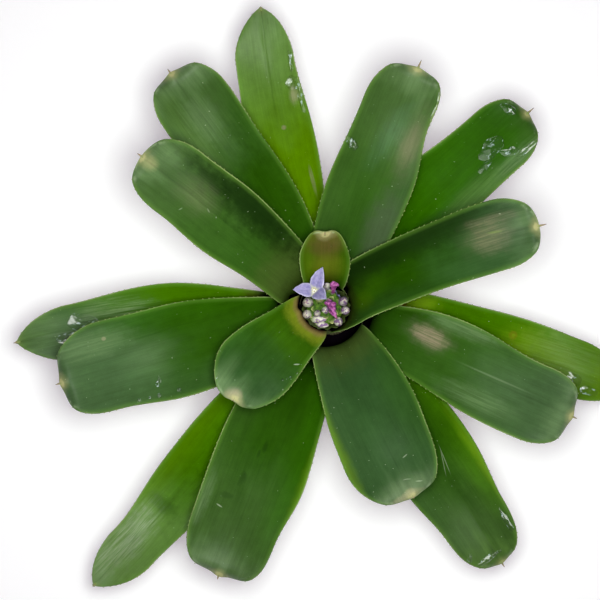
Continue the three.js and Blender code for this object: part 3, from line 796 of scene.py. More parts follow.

# Marks on the upper face of a leaf, by its rank: an oval at across and past, wide and long to each
# side in millimetres, its share over the green, how soft its edge is, how far the lengthwise grain
# breaks it up, and how far it turns. The pale, silver, teal and mauve-grey marks are painted
# sheens; the dark ones noted in the table are painted shade.
FIELDS = "rank colour across past wide long share soft grain turn"
Mark = namedtuple("Mark", FIELDS, defaults=(0, 0))
MARKS = [Mark(*row) for row in [
    (0, RIM_YELLOW, -1, 24, 8, 8, 0.2, 0.8),
    (0, BROWN, -0.7, 39, 7, 7, 0.8, 0.8, 0.2),
    (0, CREAM, 0, 48, 6, 2, 0.25, 0.7, 0.3),
    (1, FRESH, 2, 28, 24, 11, 0.6, 0.7),
    (1, RIM_YELLOW, 2, 15, 36, 7, 0.9, 0.7),
    (1, RIM_STRAW, 0, 10.5, 60, 4.5, 0.9, 0.6),
    (1, RIM_TAN, 0, 7.5, 60, 3.5, 0.9, 0.6),
    (1, RIM_BROWN, 0, 4.5, 60, 3.5, 0.9, 0.6),
    (1, RIM_MAUVE, 0, -1, 60, 5, 0.9, 0.6),
    # painted shade: a darker patch over the middle of the blade
    (1, DEEP, -3, 52, 12, 12, 0.4, 0.8),
    (1, BLUSH, -1.6, 77, 3.4, 2.8, 0.35, 0.8),
    (1, PALE_SHEEN, -12, 70, 4, 9, 0.2, 0.8),
    (1, SCRATCH, 14.9, 40.5, 0.35, 1.6, 0.7, 0.3, 0, 40),
    (2, INK, 13.5, 50, 8.5, 44, 0.8, 0.7),
    (2, FRESH, 0, 24, 6, 12, 0.4, 0.8),
    (2, LIME, -7, 19, 4.5, 6, 0.4, 0.8),
    (2, INK, 8, 20, 8, 18, 0.6, 0.8),
    # painted shade where the blade goes down into the cup
    (2, UMBER_AND_SHADE, -2, 0, 60, 12, 0.85, 0.7),
    (2, DRY_GREEN, 2, 100, 8, 13, 0.27, 0.8, 0.3),
    (2, TAN, 1.2, 99, 6.5, 8.5, 0.36, 0.7, 0.6),
    (2, TAN, 9.5, 103, 2.4, 12, 0.25, 0.7, 0.7),
    (2, BRIGHT, 2.6, 101.8, 0.6, 3.5, 0.3, 0.5, 0, 8),
    (3, FOOT_OLIVE, 0, 24, 40, 14, 0.75, 0.8),
    # painted shade at the foot of the blade, by the mouth of the cup
    (3, UMBER_AND_SHADE, 0, 4, 30, 12, 0.6, 0.8),
    # painted shadow cast by the leaf above along the right side of this one
    (3, INK, -14.5, 64, 10, 36, 0.95, 0.7),
    (3, SPINE_CREAM, 0, 120.5, 3, 3, 0.35, 0.9),
    (3, DRY_GREEN, -1, 91, 7, 10, 0.4, 0.8, 0.3),
    (3, PALE_SHEEN, -9, 117, 6, 8, 0.2, 0.8),
    (3, SCRATCH, 9.6, 93.6, 1.1, 0.3, 0.25, 0.3, 0, 25),
    (3, SCRATCH, 1.3, 81.6, 0.3, 1.2, 0.22, 0.3, 0, 25),
    (4, FOOT_OLIVE, 0, 12, 40, 14, 0.8, 0.8),
    (4, BRIGHT, -25, 66, 3, 30, 0.5, 0.9),
    (4, SCRATCH, 6, 85.4, 1.5, 0.3, 0.35, 0.3, 0, -15),
    (4, SCRATCH, 1.3, 97.7, 2, 0.3, 0.35, 0.3, 0, 10),
    (4, SCRATCH, 6.7, 100.5, 1.8, 0.35, 0.5, 0.3, 0, 20),
    (4, SILVER_SHEEN, -1, 103, 14, 6, 0.3, 0.9),
    (4, CREAM, -4, 105.5, 8, 2, 0.4, 0.6, 0.2),
    # painted sheen, mauve-grey, on the right side near the foot
    (5, MAUVE_SHEEN, -13, 45, 8, 18, 0.5, 0.7),
    # painted sheen, pale teal, over the middle of the blade
    (5, TEAL_SHEEN, -0.5, 93, 5, 16, 0.22, 0.9, 0.3, 15),
    (5, DRY_GREEN, -12, 92, 6, 17, 0.4, 0.8),
    (5, TAN, -11.6, 91, 3.6, 9, 0.3, 0.8, 0.4),
    (6, PALE_SHEEN, -2, 88, 8, 12, 0.15, 0.9, 0.3),
    (6, TAN, -16.6, 109.3, 1, 1.2, 0.8, 0.3),
    (6, PALE_SHEEN, -15, 118, 6, 18, 0.5, 0.8, 0.3),
    (7, DEEP, 17, 30, 8, 16, 0.7, 0.7),
    (7, PALE_SHEEN, 20, 62, 4, 15, 0.6, 0.7, 0.5),
    (7, DRY_GREEN, 9, 47, 6.5, 11, 0.5, 0.7, 0.2),
    (7, TAN, 9, 47, 4.6, 8.5, 0.9, 0.5, 0.7),
    (7, SILVER_SHEEN, 2.6, 88, 0.5, 16, 0.22, 0.6),
    (7, PALE_SHEEN, -12, 82, 5, 17, 0.45, 0.8, 0.5),
    # painted shade of a fold: a dark band along the blade
    (8, DEEP, -8, 60, 7, 30, 0.7, 0.8),
    (8, MEADOW, 12, 96, 6, 30, 0.5, 0.8, 0.3),
    (8, PALE_SHEEN, 1, 108, 7, 12, 0.4, 0.8, 0.3),
    (9, INK, -2, 66.8, 1.2, 3.4, 0.5, 0.5, 0.5),
    (9, INK, -4, 71, 0.8, 2, 0.5, 0.5, 0.5),
    (9, INK, -7.3, 86.5, 1.8, 3.6, 0.5, 0.5, 0.5),
    (9, INK, -12, 98, 3.4, 1.5, 0.4, 0.5, 0.5),
    (9, PALE_SHEEN, -23.5, 103, 3, 12, 0.5, 0.7, 0.5),
    (9, SCRATCH, -13.7, 104.7, 1.8, 0.35, 0.5, 0.3, 0, 15),
    (9, BRIGHT, 26, 72, 3, 36, 0.4, 0.8),
    (10, PALE_SHEEN, -15.5, 116, 4, 18, 0.5, 0.7, 0.8),
    (10, MEADOW, -14, 84, 5, 16, 0.4, 0.8, 0.5),
    (11, OLIVE, -8, 17, 10, 9, 0.8, 0.7),
    (11, UMBER_AND_SHADE, -8, 6, 12, 9, 0.95, 0.6),
    (11, SILVER_SHEEN, -7, 94, 7, 16, 0.4, 0.7, 0.9),
    (11, PALE_SHEEN, 2, 132, 8, 16, 0.3, 0.8, 0.4),
    (12, BRIGHT, 22, 104, 3, 32, 0.6, 0.8),
    (12, DEEP, 2, 62, 10, 24, 0.35, 0.9),
    (12, SCRATCH, 4.8, 84, 0.25, 8, 0.3, 0.3, 0, 12),
    (12, SCRATCH, 3.2, 85, 0.25, 7, 0.3, 0.3, 0, 22),
    (13, TAN, -11.7, 45.5, 1, 7, 0.5, 0.6, 0.7),
    (13, TAN, -2.4, 77.4, 1.2, 1.2, 0.6, 0.4, 0.3),
    (13, BLUSH, -11.5, 94, 2.4, 4, 0.35, 0.7, 0.3),
    (14, SILVER_SHEEN, -5, 149, 9, 25, 0.9, 0.6, 0.9),
    (14, DEEP, -2, 116, 8, 4.5, 0.45, 0.6, 0.3),
    (14, DEEP, 6, 92, 6, 20, 0.3, 0.9),
    (15, RUST, 8.9, 77.1, 2.4, 2.2, 0.6, 0.4, 0.2),
    (15, BRIGHT, 8.9, 77.1, 1, 0.9, 0.6, 0.5),
    (15, BRIGHT, 14.8, 23, 8, 10, 0.9, 0.7),
    (15, RUST, 12, 11, 5, 5, 0.8, 0.6),
    (15, BRIGHT, 0, 94, 14, 22, 0.85, 0.6, 0.2),
    (15, PALE_SHEEN, 4, 108, 10, 18, 0.3, 0.8, 0.6),
]]
# How far past the wall the dark of the axil reaches, by rank.
USUAL_AXIL_REACH = 3
AXIL_REACH = {0: -2, 1: -5, 2: -10, 11: -12}
# The foot of a blade is blended towards a dark brown near the cup, but not on these ranks.
FOOT_REACH = 20
FOOT_SHARE = 0.55
CLEAR_FEET = (0, 1, 2, 3, 4, 13, 15)


def mark_mask(mark, across, past, ragged, grain):
    """The share that a mark takes: full inside an oval turned by its angle, with an edge broken by
    the ragged noise, and thinned out along the leaf's grain."""
    cos, sin = math.cos(mark.turn * RAD), math.sin(mark.turn * RAD)
    x, y = across - mark.across, past - mark.past
    wide = (x * cos + y * sin) / mark.wide
    long = (y * cos - x * sin) / mark.long
    rough = 1.2 if min(mark.wide, mark.long) > 1 else 0.2
    reach = (wide * wide + long * long) ** 0.5 + (ragged - 0.5) * rough
    share = reach.step(1 + mark.soft, 1 - mark.soft) * mark.share
    return share * (grain.step(0.34, 0.66) * mark.grain + (1 - mark.grain)) if mark.grain else share


def leaf_finish(name, line, wet=False):
    """A leaf's finish. Greens go from the sheath to the tip and from side to side, broken by slow
    clouds, lengthwise bands and a finer grain, and darkened near the cup and along a crease as
    painted shade. Marks lie over them, some of them painted sheens and painted shade, the margins
    are paler, the lobes beside a blunt tip carry a painted highlight, and the inside of the sheath
    is nearly black, its dark purple deepened with painted shade. The lower face is pale, with
    silvery cross-bands of scales. The wet one is the same leaf under water: deeper, sharply glossy,
    and with painted reflections."""
    finish = Finish(name)
    rank, point, look = line.rank, line.leaf.point, LOOKS[line.rank]
    seed = rank * 3.7
    across, past, inset = finish.attribute("leaf_mm")
    share, along, upper = finish.attribute("leaf_share")
    place = finish.place()
    grain = finish.noise(finish.vector(across, past * 0.04, seed), 1.1, 4.0, 0.65)
    bands = finish.noise(finish.vector(across, past * 0.08, seed + 4), 0.25)
    clouds = finish.noise(finish.vector(across, past * 0.45, seed + 9), 0.055, 3.0, 0.55)
    mottle = finish.noise(place, 0.22, 4.0, 0.6)
    dust = finish.noise(place, 1.6, 2.0, 0.6)
    specks = finish.noise(place, 0.95, 0.0).step(0.85, 0.9) * 0.4

    out = along + (clouds - 0.5) * 0.3
    lean = share + (clouds - 0.5) * 0.5
    inner = along.step(0.95, 0.6)
    marks = [mark for mark in MARKS if mark.rank == rank]
    colour = finish.blend(
        look.base,
        (out.step(0.08, 0.42), look.main),
        (out.step(0.42, 0.82), look.outer),
        (lean.step(0.15, 0.9) * inner * look.left[1], look.left[0]),
        (lean.step(-0.15, -0.9) * inner * look.right[1], look.right[0]),
        ((out + (bands - 0.5) * 0.1).step(0.82, 1.04) * 0.7, look.tip),
        (past.step(FOOT_REACH, 2.0) * (0 if rank in CLEAR_FEET else FOOT_SHARE), FOOT_DARK),
        *((mark_mask(mark, across, past, mottle, grain), mark.colour) for mark in marks),
    )
    # painted shade of a crease: a darker line along the middle of the blade
    crease = abs(across + (bands - 0.5) * 2).step(1.0, 0.0) * along.step(0.3, 0.7) * look.crease
    shade = (grain - 0.5) * 0.32 + (bands - 0.5) * 0.24 + (clouds - 0.5) * 0.55
    shade = shade + (mottle - 0.5) * 0.3 + (dust - 0.5) * 0.2 - crease * 0.2
    shade = shade + (WET_SHADE if wet else DRY_SHADE)
    # painted shade: darker towards the cup
    shade = shade * (along.step(0.05, 0.65) * (1 - BASE_SHADE) + BASE_SHADE)
    colour = finish.node("ShaderNodeHueSaturation", {"Value": shade, "Color": colour})

    # painted highlight: a paler crescent inside the margin of the lobes beside a blunt tip
    lobe_highlight = inset.step(0.8, 1.6) * inset.step(4.5, 2.0) * along.step(0.92, 0.96)
    lobe_highlight = lobe_highlight * mottle.step(0.4, 0.6) * (0.6 - 0.6 * point)
    # a small cream callus at the foot of the spine, fading into the green
    end = line.blade_length - NOTCH_DEPTH
    callus = (across * across * 0.5 + (past - end) ** 2) ** 0.5 + (mottle - 0.5) * 4
    callus = callus.step(6.0, 0.5) * 0.3 + callus.step(2.2, 0.6) * 0.35
    reach = AXIL_REACH.get(rank, USUAL_AXIL_REACH)
    colour = finish.blend(
        colour,
        (specks, SCRATCH),
        (inset.step(3.0, 0.4) * 0.3, MARGIN_GREEN),
        (inset.step(0.7, 0.3) * bands.step(0.3, 0.7) * 0.6, MARGIN_PALE),
        (lobe_highlight, SILVER_SHEEN),
        (callus * (1 - 0.8 * point), SPINE_CREAM),
        # the dark purple of the axil, deepened with painted shade
        ((past + (mottle - 0.5) * 6).step(reach + 3, reach - 4), AXIL_DARK),
    )

    scales = (past * 0.9 + (clouds - 0.5) * 10).math("SINE").step(-0.2, 0.9) * mottle.step(0.2, 0.7)
    fibre = grain * 0.6 + bands * 0.3 + mottle * 0.25
    sheath = finish.blend(SHEATH_PALE, (fibre.step(0.44, 0.7) * 0.8, SHEATH_BROWN))
    below = finish.blend(colour, (0.5, UNDER_PALE), (scales * 0.4, UNDER_SCALE))
    below = finish.blend(below, (past.step(4.0, -8.0), sheath))
    colour = finish.blend(below, (upper, colour))
    if wet:
        # painted reflections: pale blotches laid into the colour of the water
        sheen = finish.noise(finish.vector(across, past * 0.5, seed + 2), 0.5, 3.0, 0.6)
        return finish.done(finish.blend(colour, (sheen.step(0.56, 0.68) * 0.7, SHEEN)), {
            "Specular IOR Level": 1.0,
            "Roughness": WATER_ROUGHNESS,
            "Normal": finish.bump(finish.noise(place, 0.3, 1.0), 0.15),
        })
    wax = out.step(0.4, 0.9) * look.gloss * (grain + 0.5) + along.step(0.9, 1.0) * 0.15
    return finish.done(colour, {
        "Coat Weight": wax * upper,
        "Coat Roughness": COAT_ROUGHNESS,
        "Specular IOR Level": 0.0,
        "Roughness": 0.5 + (grain - 0.5) * 0.2 + (1 - upper) * 0.2,
        "Normal": finish.bump(grain * 0.7 + dust * 0.3, 0.08),
    })


def spine_finish():
    """Green-cream at the foot, pinkish brown towards the point."""
    finish = Finish("spine_and_prickle", 0.45)
    along, _, _ = finish.attribute("spine")
    tone = along + (finish.noise(finish.place(), 1.5) - 0.5) * 0.3
    layers = [(tone.step(0.1, 0.6), "948660"), (tone.step(0.7, 1.0), "604a3a")]
    return finish.done(finish.blend("7c9248", *layers))


# ---- water on the leaves

# Films and drops of water: the leaf's rank, where its middle lies, half its width and length, its
# height, and how far it turns.
Film = namedtuple("Film", "rank across past wide long height turn", defaults=(0,))
FILMS = [Film(*row) for row in [
    (10, -1.5, 107, 5, 8, 0.5),
    (10, -9.5, 113.5, 2.6, 5, 0.45, 20),
    (10, -6.5, 98, 2, 5, 0.35, -10),
    (10, 8.5, 129, 2.6, 5, 0.5, 60),
    (10, -14.5, 123, 1.6, 9, 0.35),
    (5, -17.5, 118, 2.6, 11, 0.6),
    (5, -18.2, 103, 1.5, 8, 0.6),
    (5, 18.2, 81.5, 2.0, 5.4, 1.0, -67),
    (13, -12.5, 101, 4.4, 4.5, 0.5, 20),
    (13, -15, 90.5, 1.8, 7, 0.5),
    (13, -12.6, 114, 1.4, 6, 0.5),
    (11, -3.8, 113, 5.5, 8, 0.45, 20),
    (11, 3, 124, 3, 6, 0.4),
    (15, -5, 119, 3.4, 6, 0.5, 10),
    (15, -8.5, 130, 2.6, 6, 0.5, -10),
    (12, -5, 148, 8, 2.0, 0.4, 5),
    (12, -14, 140.5, 1.4, 3, 0.4, 30),
    (12, 15, 133, 1.6, 8, 0.4),
    (6, 20.2, 100.2, 1.0, 1.0, 0.5),
    (6, 20.7, 89.6, 1.1, 1.1, 0.5),
    (6, 20.8, 79.0, 1.2, 1.2, 0.5),
    (6, 20.4, 94.5, 0.7, 0.7, 0.4),
    (6, 13.9, 88.1, 2.6, 1.2, 0.4, 30),
    (1, 14.8, 54, 0.6, 0.6, 0.4),
    (1, 17.3, 49.5, 0.6, 0.7, 0.4),
    (1, 16.2, 51.8, 0.5, 0.5, 0.4),
    (1, 18.4, 44.5, 0.6, 0.9, 0.4),
    (1, -13.3, 73.9, 0.8, 0.8, 0.4),
]]
FILM_RINGS = [0.1, 1.0, 1.0, 0.97, 0.91, 0.82, 0.7, 0.55, 0.38, 0.2, 0.06]  # two underneath
FILM_SIDES = 48
FILM_INSET = 0.25  # from the leaf's margin
SUNK = 0.15  # of a film's underside into the leaf


def film_body(film, line, random):
    """A film of water: a low dome over a ragged oval of the leaf's upper face, whose outline is a
    circle swollen by four waves, and whose top ripples. Its underside is sunk into the leaf."""
    angle = turns(FILM_SIDES)
    waves = np.arange(2, 6)[:, None, None]
    size = random.uniform(0.04, 0.3, 4)[:, None, None] / waves ** 0.5
    phase = random.uniform(0, 2 * np.pi, 4)[:, None, None]
    ragged = 0.35 if film.wide > 1.3 else 0.1
    outline = 1 + 2 * ragged * (size * np.cos(waves * angle + phase)).sum(axis=0)
    ring = np.array(FILM_RINGS)[:, None]
    below = np.arange(len(ring))[:, None] < 2
    x, y = film.wide * ring * outline * np.cos(angle), film.long * ring * outline * np.sin(angle)
    cos, sin = math.cos(film.turn * RAD), math.sin(film.turn * RAD)
    past = film.past + x * sin + y * cos
    across = film.across + x * cos - y * sin
    half = line.row_half(past) * line.swell(past, across) - FILM_INSET
    across = np.clip(across, -half, half)
    dome = film.height * np.maximum(0, 1 - ring ** 2)
    ripple = 0.3 * film.height * np.sin(across * 1.5 + phase[0]) * np.sin(past * 1.2 + phase[1])
    points, normals = line.skin(past, across)
    return ring_body(
        moved(points, (normals, np.where(below, -SUNK, dome + ripple * (1 - ring)))),
        leaf_mm=triples(across, past, half - np.abs(across)),
        leaf_share=triples(across / half, past / line.blade_length, 1),
    )


# ---- flower head


def lathe_body(profile, rows, sides, ripple):
    """A turned body: a profile of radius and height, in rows at even steps along its length, that
    the ripple swells."""
    points = np.array(profile, float)
    length = np.concatenate([[0], np.cumsum(np.linalg.norm(np.diff(points, axis=0), axis=1))])
    at = np.linspace(0, length[-1], rows)
    radius, height = (np.interp(at, length, column)[:, None] for column in points.T)
    angle = turns(sides)
    size = radius + ripple(angle, np.arange(rows)[:, None], radius, height)
    return ring_body(triples(size * np.cos(angle), size * np.sin(angle), height))


def head_core_body():
    """The core: a slim scape that widens to a shallow dome, lobed by the scales pressed on it."""
    bottom = STEM_TOP + CLEARANCE
    profile = [
        (0.5, bottom),
        (SCAPE_RADIUS, bottom),
        (SCAPE_RADIUS, mix(bottom, CORE_TOP, 0.35)),
        (CORE_RADIUS * 0.9, mix(bottom, CORE_TOP, 0.65)),
        (CORE_RADIUS, mix(bottom, CORE_TOP, 0.8)),
        (CORE_RADIUS * 0.93, CORE_TOP - 1.5),
        (CORE_RADIUS * 0.8, CORE_TOP),
        (0.4, CORE_TOP + 0.3),
    ]

    def ripple(angle, row, radius, height):
        lobes = 1 + np.cos(13 * angle + 0.35 * row)
        return -0.35 * smooth((height - 56) / 8) * lobes * (radius > 1.5)

    return lathe_body(profile, 60, 96, ripple)


def bud_body(bud):
    """A bud: a spindle of three sepals that overlap in a slow spiral, shut to a blunt point."""
    share, angle = shares(BUD_ROWS), turns(BUD_SIDES)
    base = polar(bud.distance, bud.bearing, CORE_TOP - 1)
    aim = polar(math.sin(bud.lean * RAD), bud.bearing + bud.turn, math.cos(bud.lean * RAD))
    path = base + aim * (share * (bud.length + 1))
    radii = np.interp(share[:, 0], *BUD_PROFILE) * bud.radius
    spindle = tube_body(path, radii, BUD_SIDES, "bud")
    rings = spindle.points[:-2].reshape(BUD_ROWS, BUD_SIDES, 3)
    wrap = (3 * angle / (2 * np.pi) + 0.5 * share + bud.bearing / 90) % 1
    swell = 1 + 0.13 * (wrap - 0.5) * np.sin(np.pi * share) ** 0.5
    tone = (math.sin(bud.bearing * 7.3) + 1) / 2
    rings = moved(path[:, None], (rings - path[:, None], swell))
    return ring_body(rings, bud=triples(share, wrap, tone))


def scale_body(scale):
    """A small pointed bract: a cupped blade that leaves the core upright and leans outwards."""
    share, cross = shares(14), shares(9, -1).T
    foot = polar(scale.distance, scale.bearing, CORE_TOP - 1.2)
    half = scale.width / 2 * np.sin(np.pi * np.clip(share * 0.85 + 0.15, 0, 1)) ** 0.7 + 0.06
    cup = 0.35 * half * cross ** 2
    reach = scale.length * math.sin(scale.lean * RAD) * share ** 1.4
    height = scale.length * math.cos(scale.lean * RAD) * share
    out, side = polar(1, scale.bearing, 0), polar(1, scale.bearing + 90, 0)
    middle = moved(foot, (out, reach - cup), (UP, height), (side, half * cross))
    value = triples(share, cross, scale.bearing / 360)
    return shell_body(middle, 0.22 * (1 - np.abs(cross) ** 8), bud=value)


def collar_finish():
    """Dark green bracts that close the gap round the head, paler along their tips; the near-black
    at their feet is painted shade.
    """
    finish = Finish("head_collar", 0.5)
    along, _, _ = finish.attribute("bud")
    grain = finish.noise(finish.place(), 0.5, 3.0, 0.6)
    # painted shade: near-black at the feet, dark green towards the tips
    layers = [(along.step(0.1, 0.9), "38461a"), (grain.step(0.5, 0.7) * 0.3, "5a6a2c")]
    return finish.done(finish.blend("181c0a", *layers))


def husk_finish():
    """Withered lilac, darker at the foot."""
    finish = Finish("head_husks", 0.6)
    along, _, _ = finish.attribute("bud")
    grain = finish.noise(finish.place(), 0.7, 3.0, 0.6)
    layers = [(along.step(0.1, 0.8), "8a82b4"), (grain.step(0.45, 0.65) * 0.5, "4c3c68")]
    return finish.done(finish.blend("2c2440", *layers))


def core_finish():
    """Green and matt, with painted shade: near-black down in the cup and in dark patches between
    the scales.
    """
    finish = Finish("head_core", 0.6)
    place = finish.place()
    _, _, height = finish.parts(place)
    grain = finish.noise(place, 0.6, 4.0, 0.6)
    colour = finish.blend(
        # painted shade: near-black low down in the cup, green only near the top
        "0b0a08",
        (height.step(60.0, 68.2), "3e6410"),
        (grain.step(0.52, 0.7) * 0.6, "6c8426"),
        # painted shade in the crevices between the scales
        (grain.step(0.48, 0.38) * 0.9, "1a280a"),
    )
    return finish.done(colour, {"Normal": finish.bump(grain, 0.3)})


def bud_finish():
    """Cream sepals, green at the foot, flushed violet along some edges and at some tips."""
    finish = Finish("bud_sepals", 0.42)
    along, wrap, tone = finish.attribute("bud")
    place = finish.place()
    grain = finish.noise(place, 0.35, 3.0, 0.6)
    violet = (grain + (wrap - 0.5) * 0.3 + tone * 0.12).step(0.54, 0.64)
    colour = finish.blend(
        "66802c",
        (along.step(0.1, 0.6), "dcdacb"),
        (violet * along.step(0.15, 0.5) * 0.85, "6c3684"),
        (wrap.step(0.92, 1.0) * 0.5, "8a7a5c"),
        (along.step(0.93, 1.0) * 0.5, "8c6a50"),
    )
    return finish.done(colour, {"Normal": finish.bump(finish.noise(place, 2.2), 0.12)})


# ---- open flower


# Foot and throat of the flower, its axis, and the level line across it.
FOOT = polar(TUBE_DISTANCE, FLOWER_BEARING, CORE_TOP + CLEARANCE)
THROAT = polar(THROAT_DISTANCE, FLOWER_BEARING, THROAT_HEIGHT)
AXIS = polar(math.sin(FLOWER_LEAN * RAD), FLOWER_BEARING, math.cos(FLOWER_LEAN * RAD))
LEVEL = polar(1, FLOWER_BEARING + 90, 0)
ANTHER = 9.0  # the value that tells an anther from a filament


def flower_path(count):
    """The tube's middle line, a cubic curve that leaves the head upright and ends on the axis."""
    reach = (THROAT_HEIGHT - FOOT[2]) * 0.35
    t = shares(count)
    start = (1 - t) ** 3 * FOOT + 3 * (1 - t) ** 2 * t * (FOOT + UP * reach)
    return start + 3 * (1 - t) * t ** 2 * (THROAT - AXIS * reach) + t ** 3 * THROAT


def flower_tube_body():
    """The white tube, from inside the calyx to its flared throat."""
    share = np.linspace(0, 1, 40)
    size = np.interp(share, [0, 0.4, 0.7, 0.93, 1], [0.8, 1.1, 0.85, 1.0, 1.2])
    return tube_body(flower_path(40), size * TUBE_RADIUS, 24, "petal", lobes=0.05)


def calyx_body():
    """Three green sepals wrapped round the lower tube."""
    share = np.linspace(0, 1, 26)
    size = np.interp(share, [0, 0.2, 0.6, 0.85, 1], [0.75, 0.95, 1, 0.9, 0.72])
    return tube_body(flower_path(60)[:26], size * CALYX_RADIUS, 30, "bud", lobes=0.07, twist=60)


def petal_body(petal):
    """A petal: it leaves the throat steeply, spreads, and comes to a point. Its margins are
    ruffled and it is cupped along the middle."""
    angle, rise = petal.bearing * RAD, PETAL_RISE * RAD
    outward = np.cross(LEVEL, AXIS) * math.cos(angle) + LEVEL * math.sin(angle)
    share, cross = shares(44), shares(25, -1).T
    out = 0.6 + share * petal.length * math.cos(rise)
    up = petal.length * math.sin(rise) * share * (1.5 - 0.5 * share) - 0.6
    swell = 0.3 * (1 - share) + 2.25 * share ** 0.45 * (1 - share) ** 0.95
    half = PETAL_WIDTH / 2 * np.maximum(0.06, swell)
    ruffle = 0.22 * np.sin(share * 17 + petal.phase + 2.2 * np.sign(cross)) * np.abs(cross) ** 3
    crease = 0.35 * bell(cross / 0.16)
    lift = up + 0.16 * half * cross ** 2 + (ruffle - crease) * np.sin(np.pi * share)
    side = np.cross(AXIS, outward)
    middle = moved(THROAT, (outward, out), (AXIS, lift), (side, half * cross))
    thin = PETAL_THICKNESS / 2 * (0.45 + 0.55 * (1 - cross ** 2)) * np.sqrt(1 - np.abs(cross) ** 10)
    return shell_body(middle, thin, petal=triples(share, cross, petal.phase))


def stamen_bodies():
    """Filaments with yellow anthers round a short style, just clear of the throat."""
    bodies = []
    share = shares(7)
    size = 0.33 * np.sqrt(np.maximum(0.02, 1 - (2 * share[:, 0] - 1) ** 2))
    for n in range(STAMENS):
        angle = (n * 360 / STAMENS + 20) * RAD
        out = LEVEL * math.cos(angle) + np.cross(AXIS, LEVEL) * math.sin(angle)
        start = THROAT + out * 0.5 - AXIS * 1.5
        end = THROAT + out + AXIS * (0.9 + 0.25 * (n % 2))
        filament = tube_body(mix(start, end, shares(5)), np.full(5, 0.13), 6, "petal")
        anther = tube_body(end + (out * 0.25 + AXIS) * (share - 0.35) * 1.3, size, 8, "petal")
        anther.values["petal"][:, 2] = ANTHER
        bodies += [filament, anther]
    return bodies


def petal_finish():
    """Lilac with darker veins, white margins and a white foot."""
    finish = Finish("petal", 0.5)
    along, across, _ = finish.attribute("petal")
    veins = finish.noise(finish.vector(across * 3.0, along * 0.8, 2.0), 2.4, 3.0, 0.6)
    grain = finish.noise(finish.place(), 0.8)
    colour = finish.blend(
        "7a76a4",
        ((grain + along * 0.3).step(0.35, 0.85), "9a94bc"),
        (veins.step(0.5, 0.66) * 0.5, "7a70b4"),
        (abs(across).step(0.7, 0.98) * 0.6, "d2cee6"),
        (along.step(0.2, 0.0), "c4c8a8"),
    )
    return finish.done(colour, {"Normal": finish.bump(veins, 0.15)})


def tube_finish():
    """Translucent white, greener low down."""
    finish = Finish("flower_tube", 0.4)
    along, _, _ = finish.attribute("petal")
    tone = along + (finish.noise(finish.place(), 1.0) - 0.5) * 0.3
    return finish.done(finish.blend("b9c890", (tone.step(0.2, 0.8), "f0f0e4")))


def stamen_finish():
    """White filaments and yellow anthers."""
    finish = Finish("stamens", 0.6)
    _, _, kind = finish.attribute("petal")
    grain = finish.noise(finish.place(), 3.0)
    yellow = finish.blend("ccc470", (grain.step(0.3, 0.7), "e8e4b0"))
    return finish.done(finish.blend("f3f2ea", (kind.step(4.0, 5.0), yellow)))


def calyx_finish():
    """Pale green sepals with cream edges."""
    finish = Finish("calyx", 0.45)
    along, angle, _ = finish.attribute("bud")
    grain = finish.noise(finish.vector(angle * 6.0, along, 1.0), 3.0, 3.0)
    layers = [(along.step(0.2, 0.9), "b9c47c"), (grain.step(0.5, 0.75) * 0.5, "e0e0bc")]
    return finish.done(finish.blend("5f8a2c", *layers), {"Normal": finish.bump(grain, 0.1)})


# ---- spent flowers


def wisp_body(spent, seed):
    """A spent flower: a quadratic curve from the head that curls from side to side, with its size
    at even steps along it, and its three petals twisted together like a wrung cloth."""
    foot, end = np.array(spent.base, float), np.array(spent.tip, float)
    control = foot + UP * (end[2] - foot[2]) * 0.6
    t = shares(46)
    path = (1 - t) ** 2 * foot + 2 * (1 - t) * t * control + t ** 2 * end
    curl = spent.curl * np.sin(np.pi * t) * np.array([1.0, 0.5, 0.0])
    size = np.interp(t[:, 0], np.linspace(0, 1, 6), spent.size)
    size = size * (1 + 0.16 * np.sin(t[:, 0] * 37 + seed)) * WISP_RADIUS
    path = path + curl * np.sin(t * 13 + seed)
    return tube_body(path, size, 30, "wisp", lobes=0.3, twist=430 + 60 * seed)


def wisp_finish():
    """Magenta and crumpled, with painted shade of the folds in darker patches, and browner at the
    ends.
    """
    finish = Finish("spent_petals", 0.5)
    along, angle, _ = finish.attribute("wisp")
    grain = finish.noise(finish.place(), 0.7, 4.0, 0.65)
    # painted shade of the folds, as darker twisting patches
    fold_shade = finish.noise(finish.vector(angle * 5.0, along * 3.0, 3.0), 2.0, 3.0)
    colour = finish.blend(
        "7e2670",
        (grain.step(0.4, 0.62), "c070ae"),
        (fold_shade.step(0.5, 0.66) * 0.8, "4c1a60"),
        (along.step(0.35, 0.1) * 0.8, "c9ccb0"),
        (along.step(0.9, 1.0) * 0.6, "7a4a50"),
    )
    return finish.done(colour, {"Normal": finish.bump(grain, 0.4)})


# ---- stem


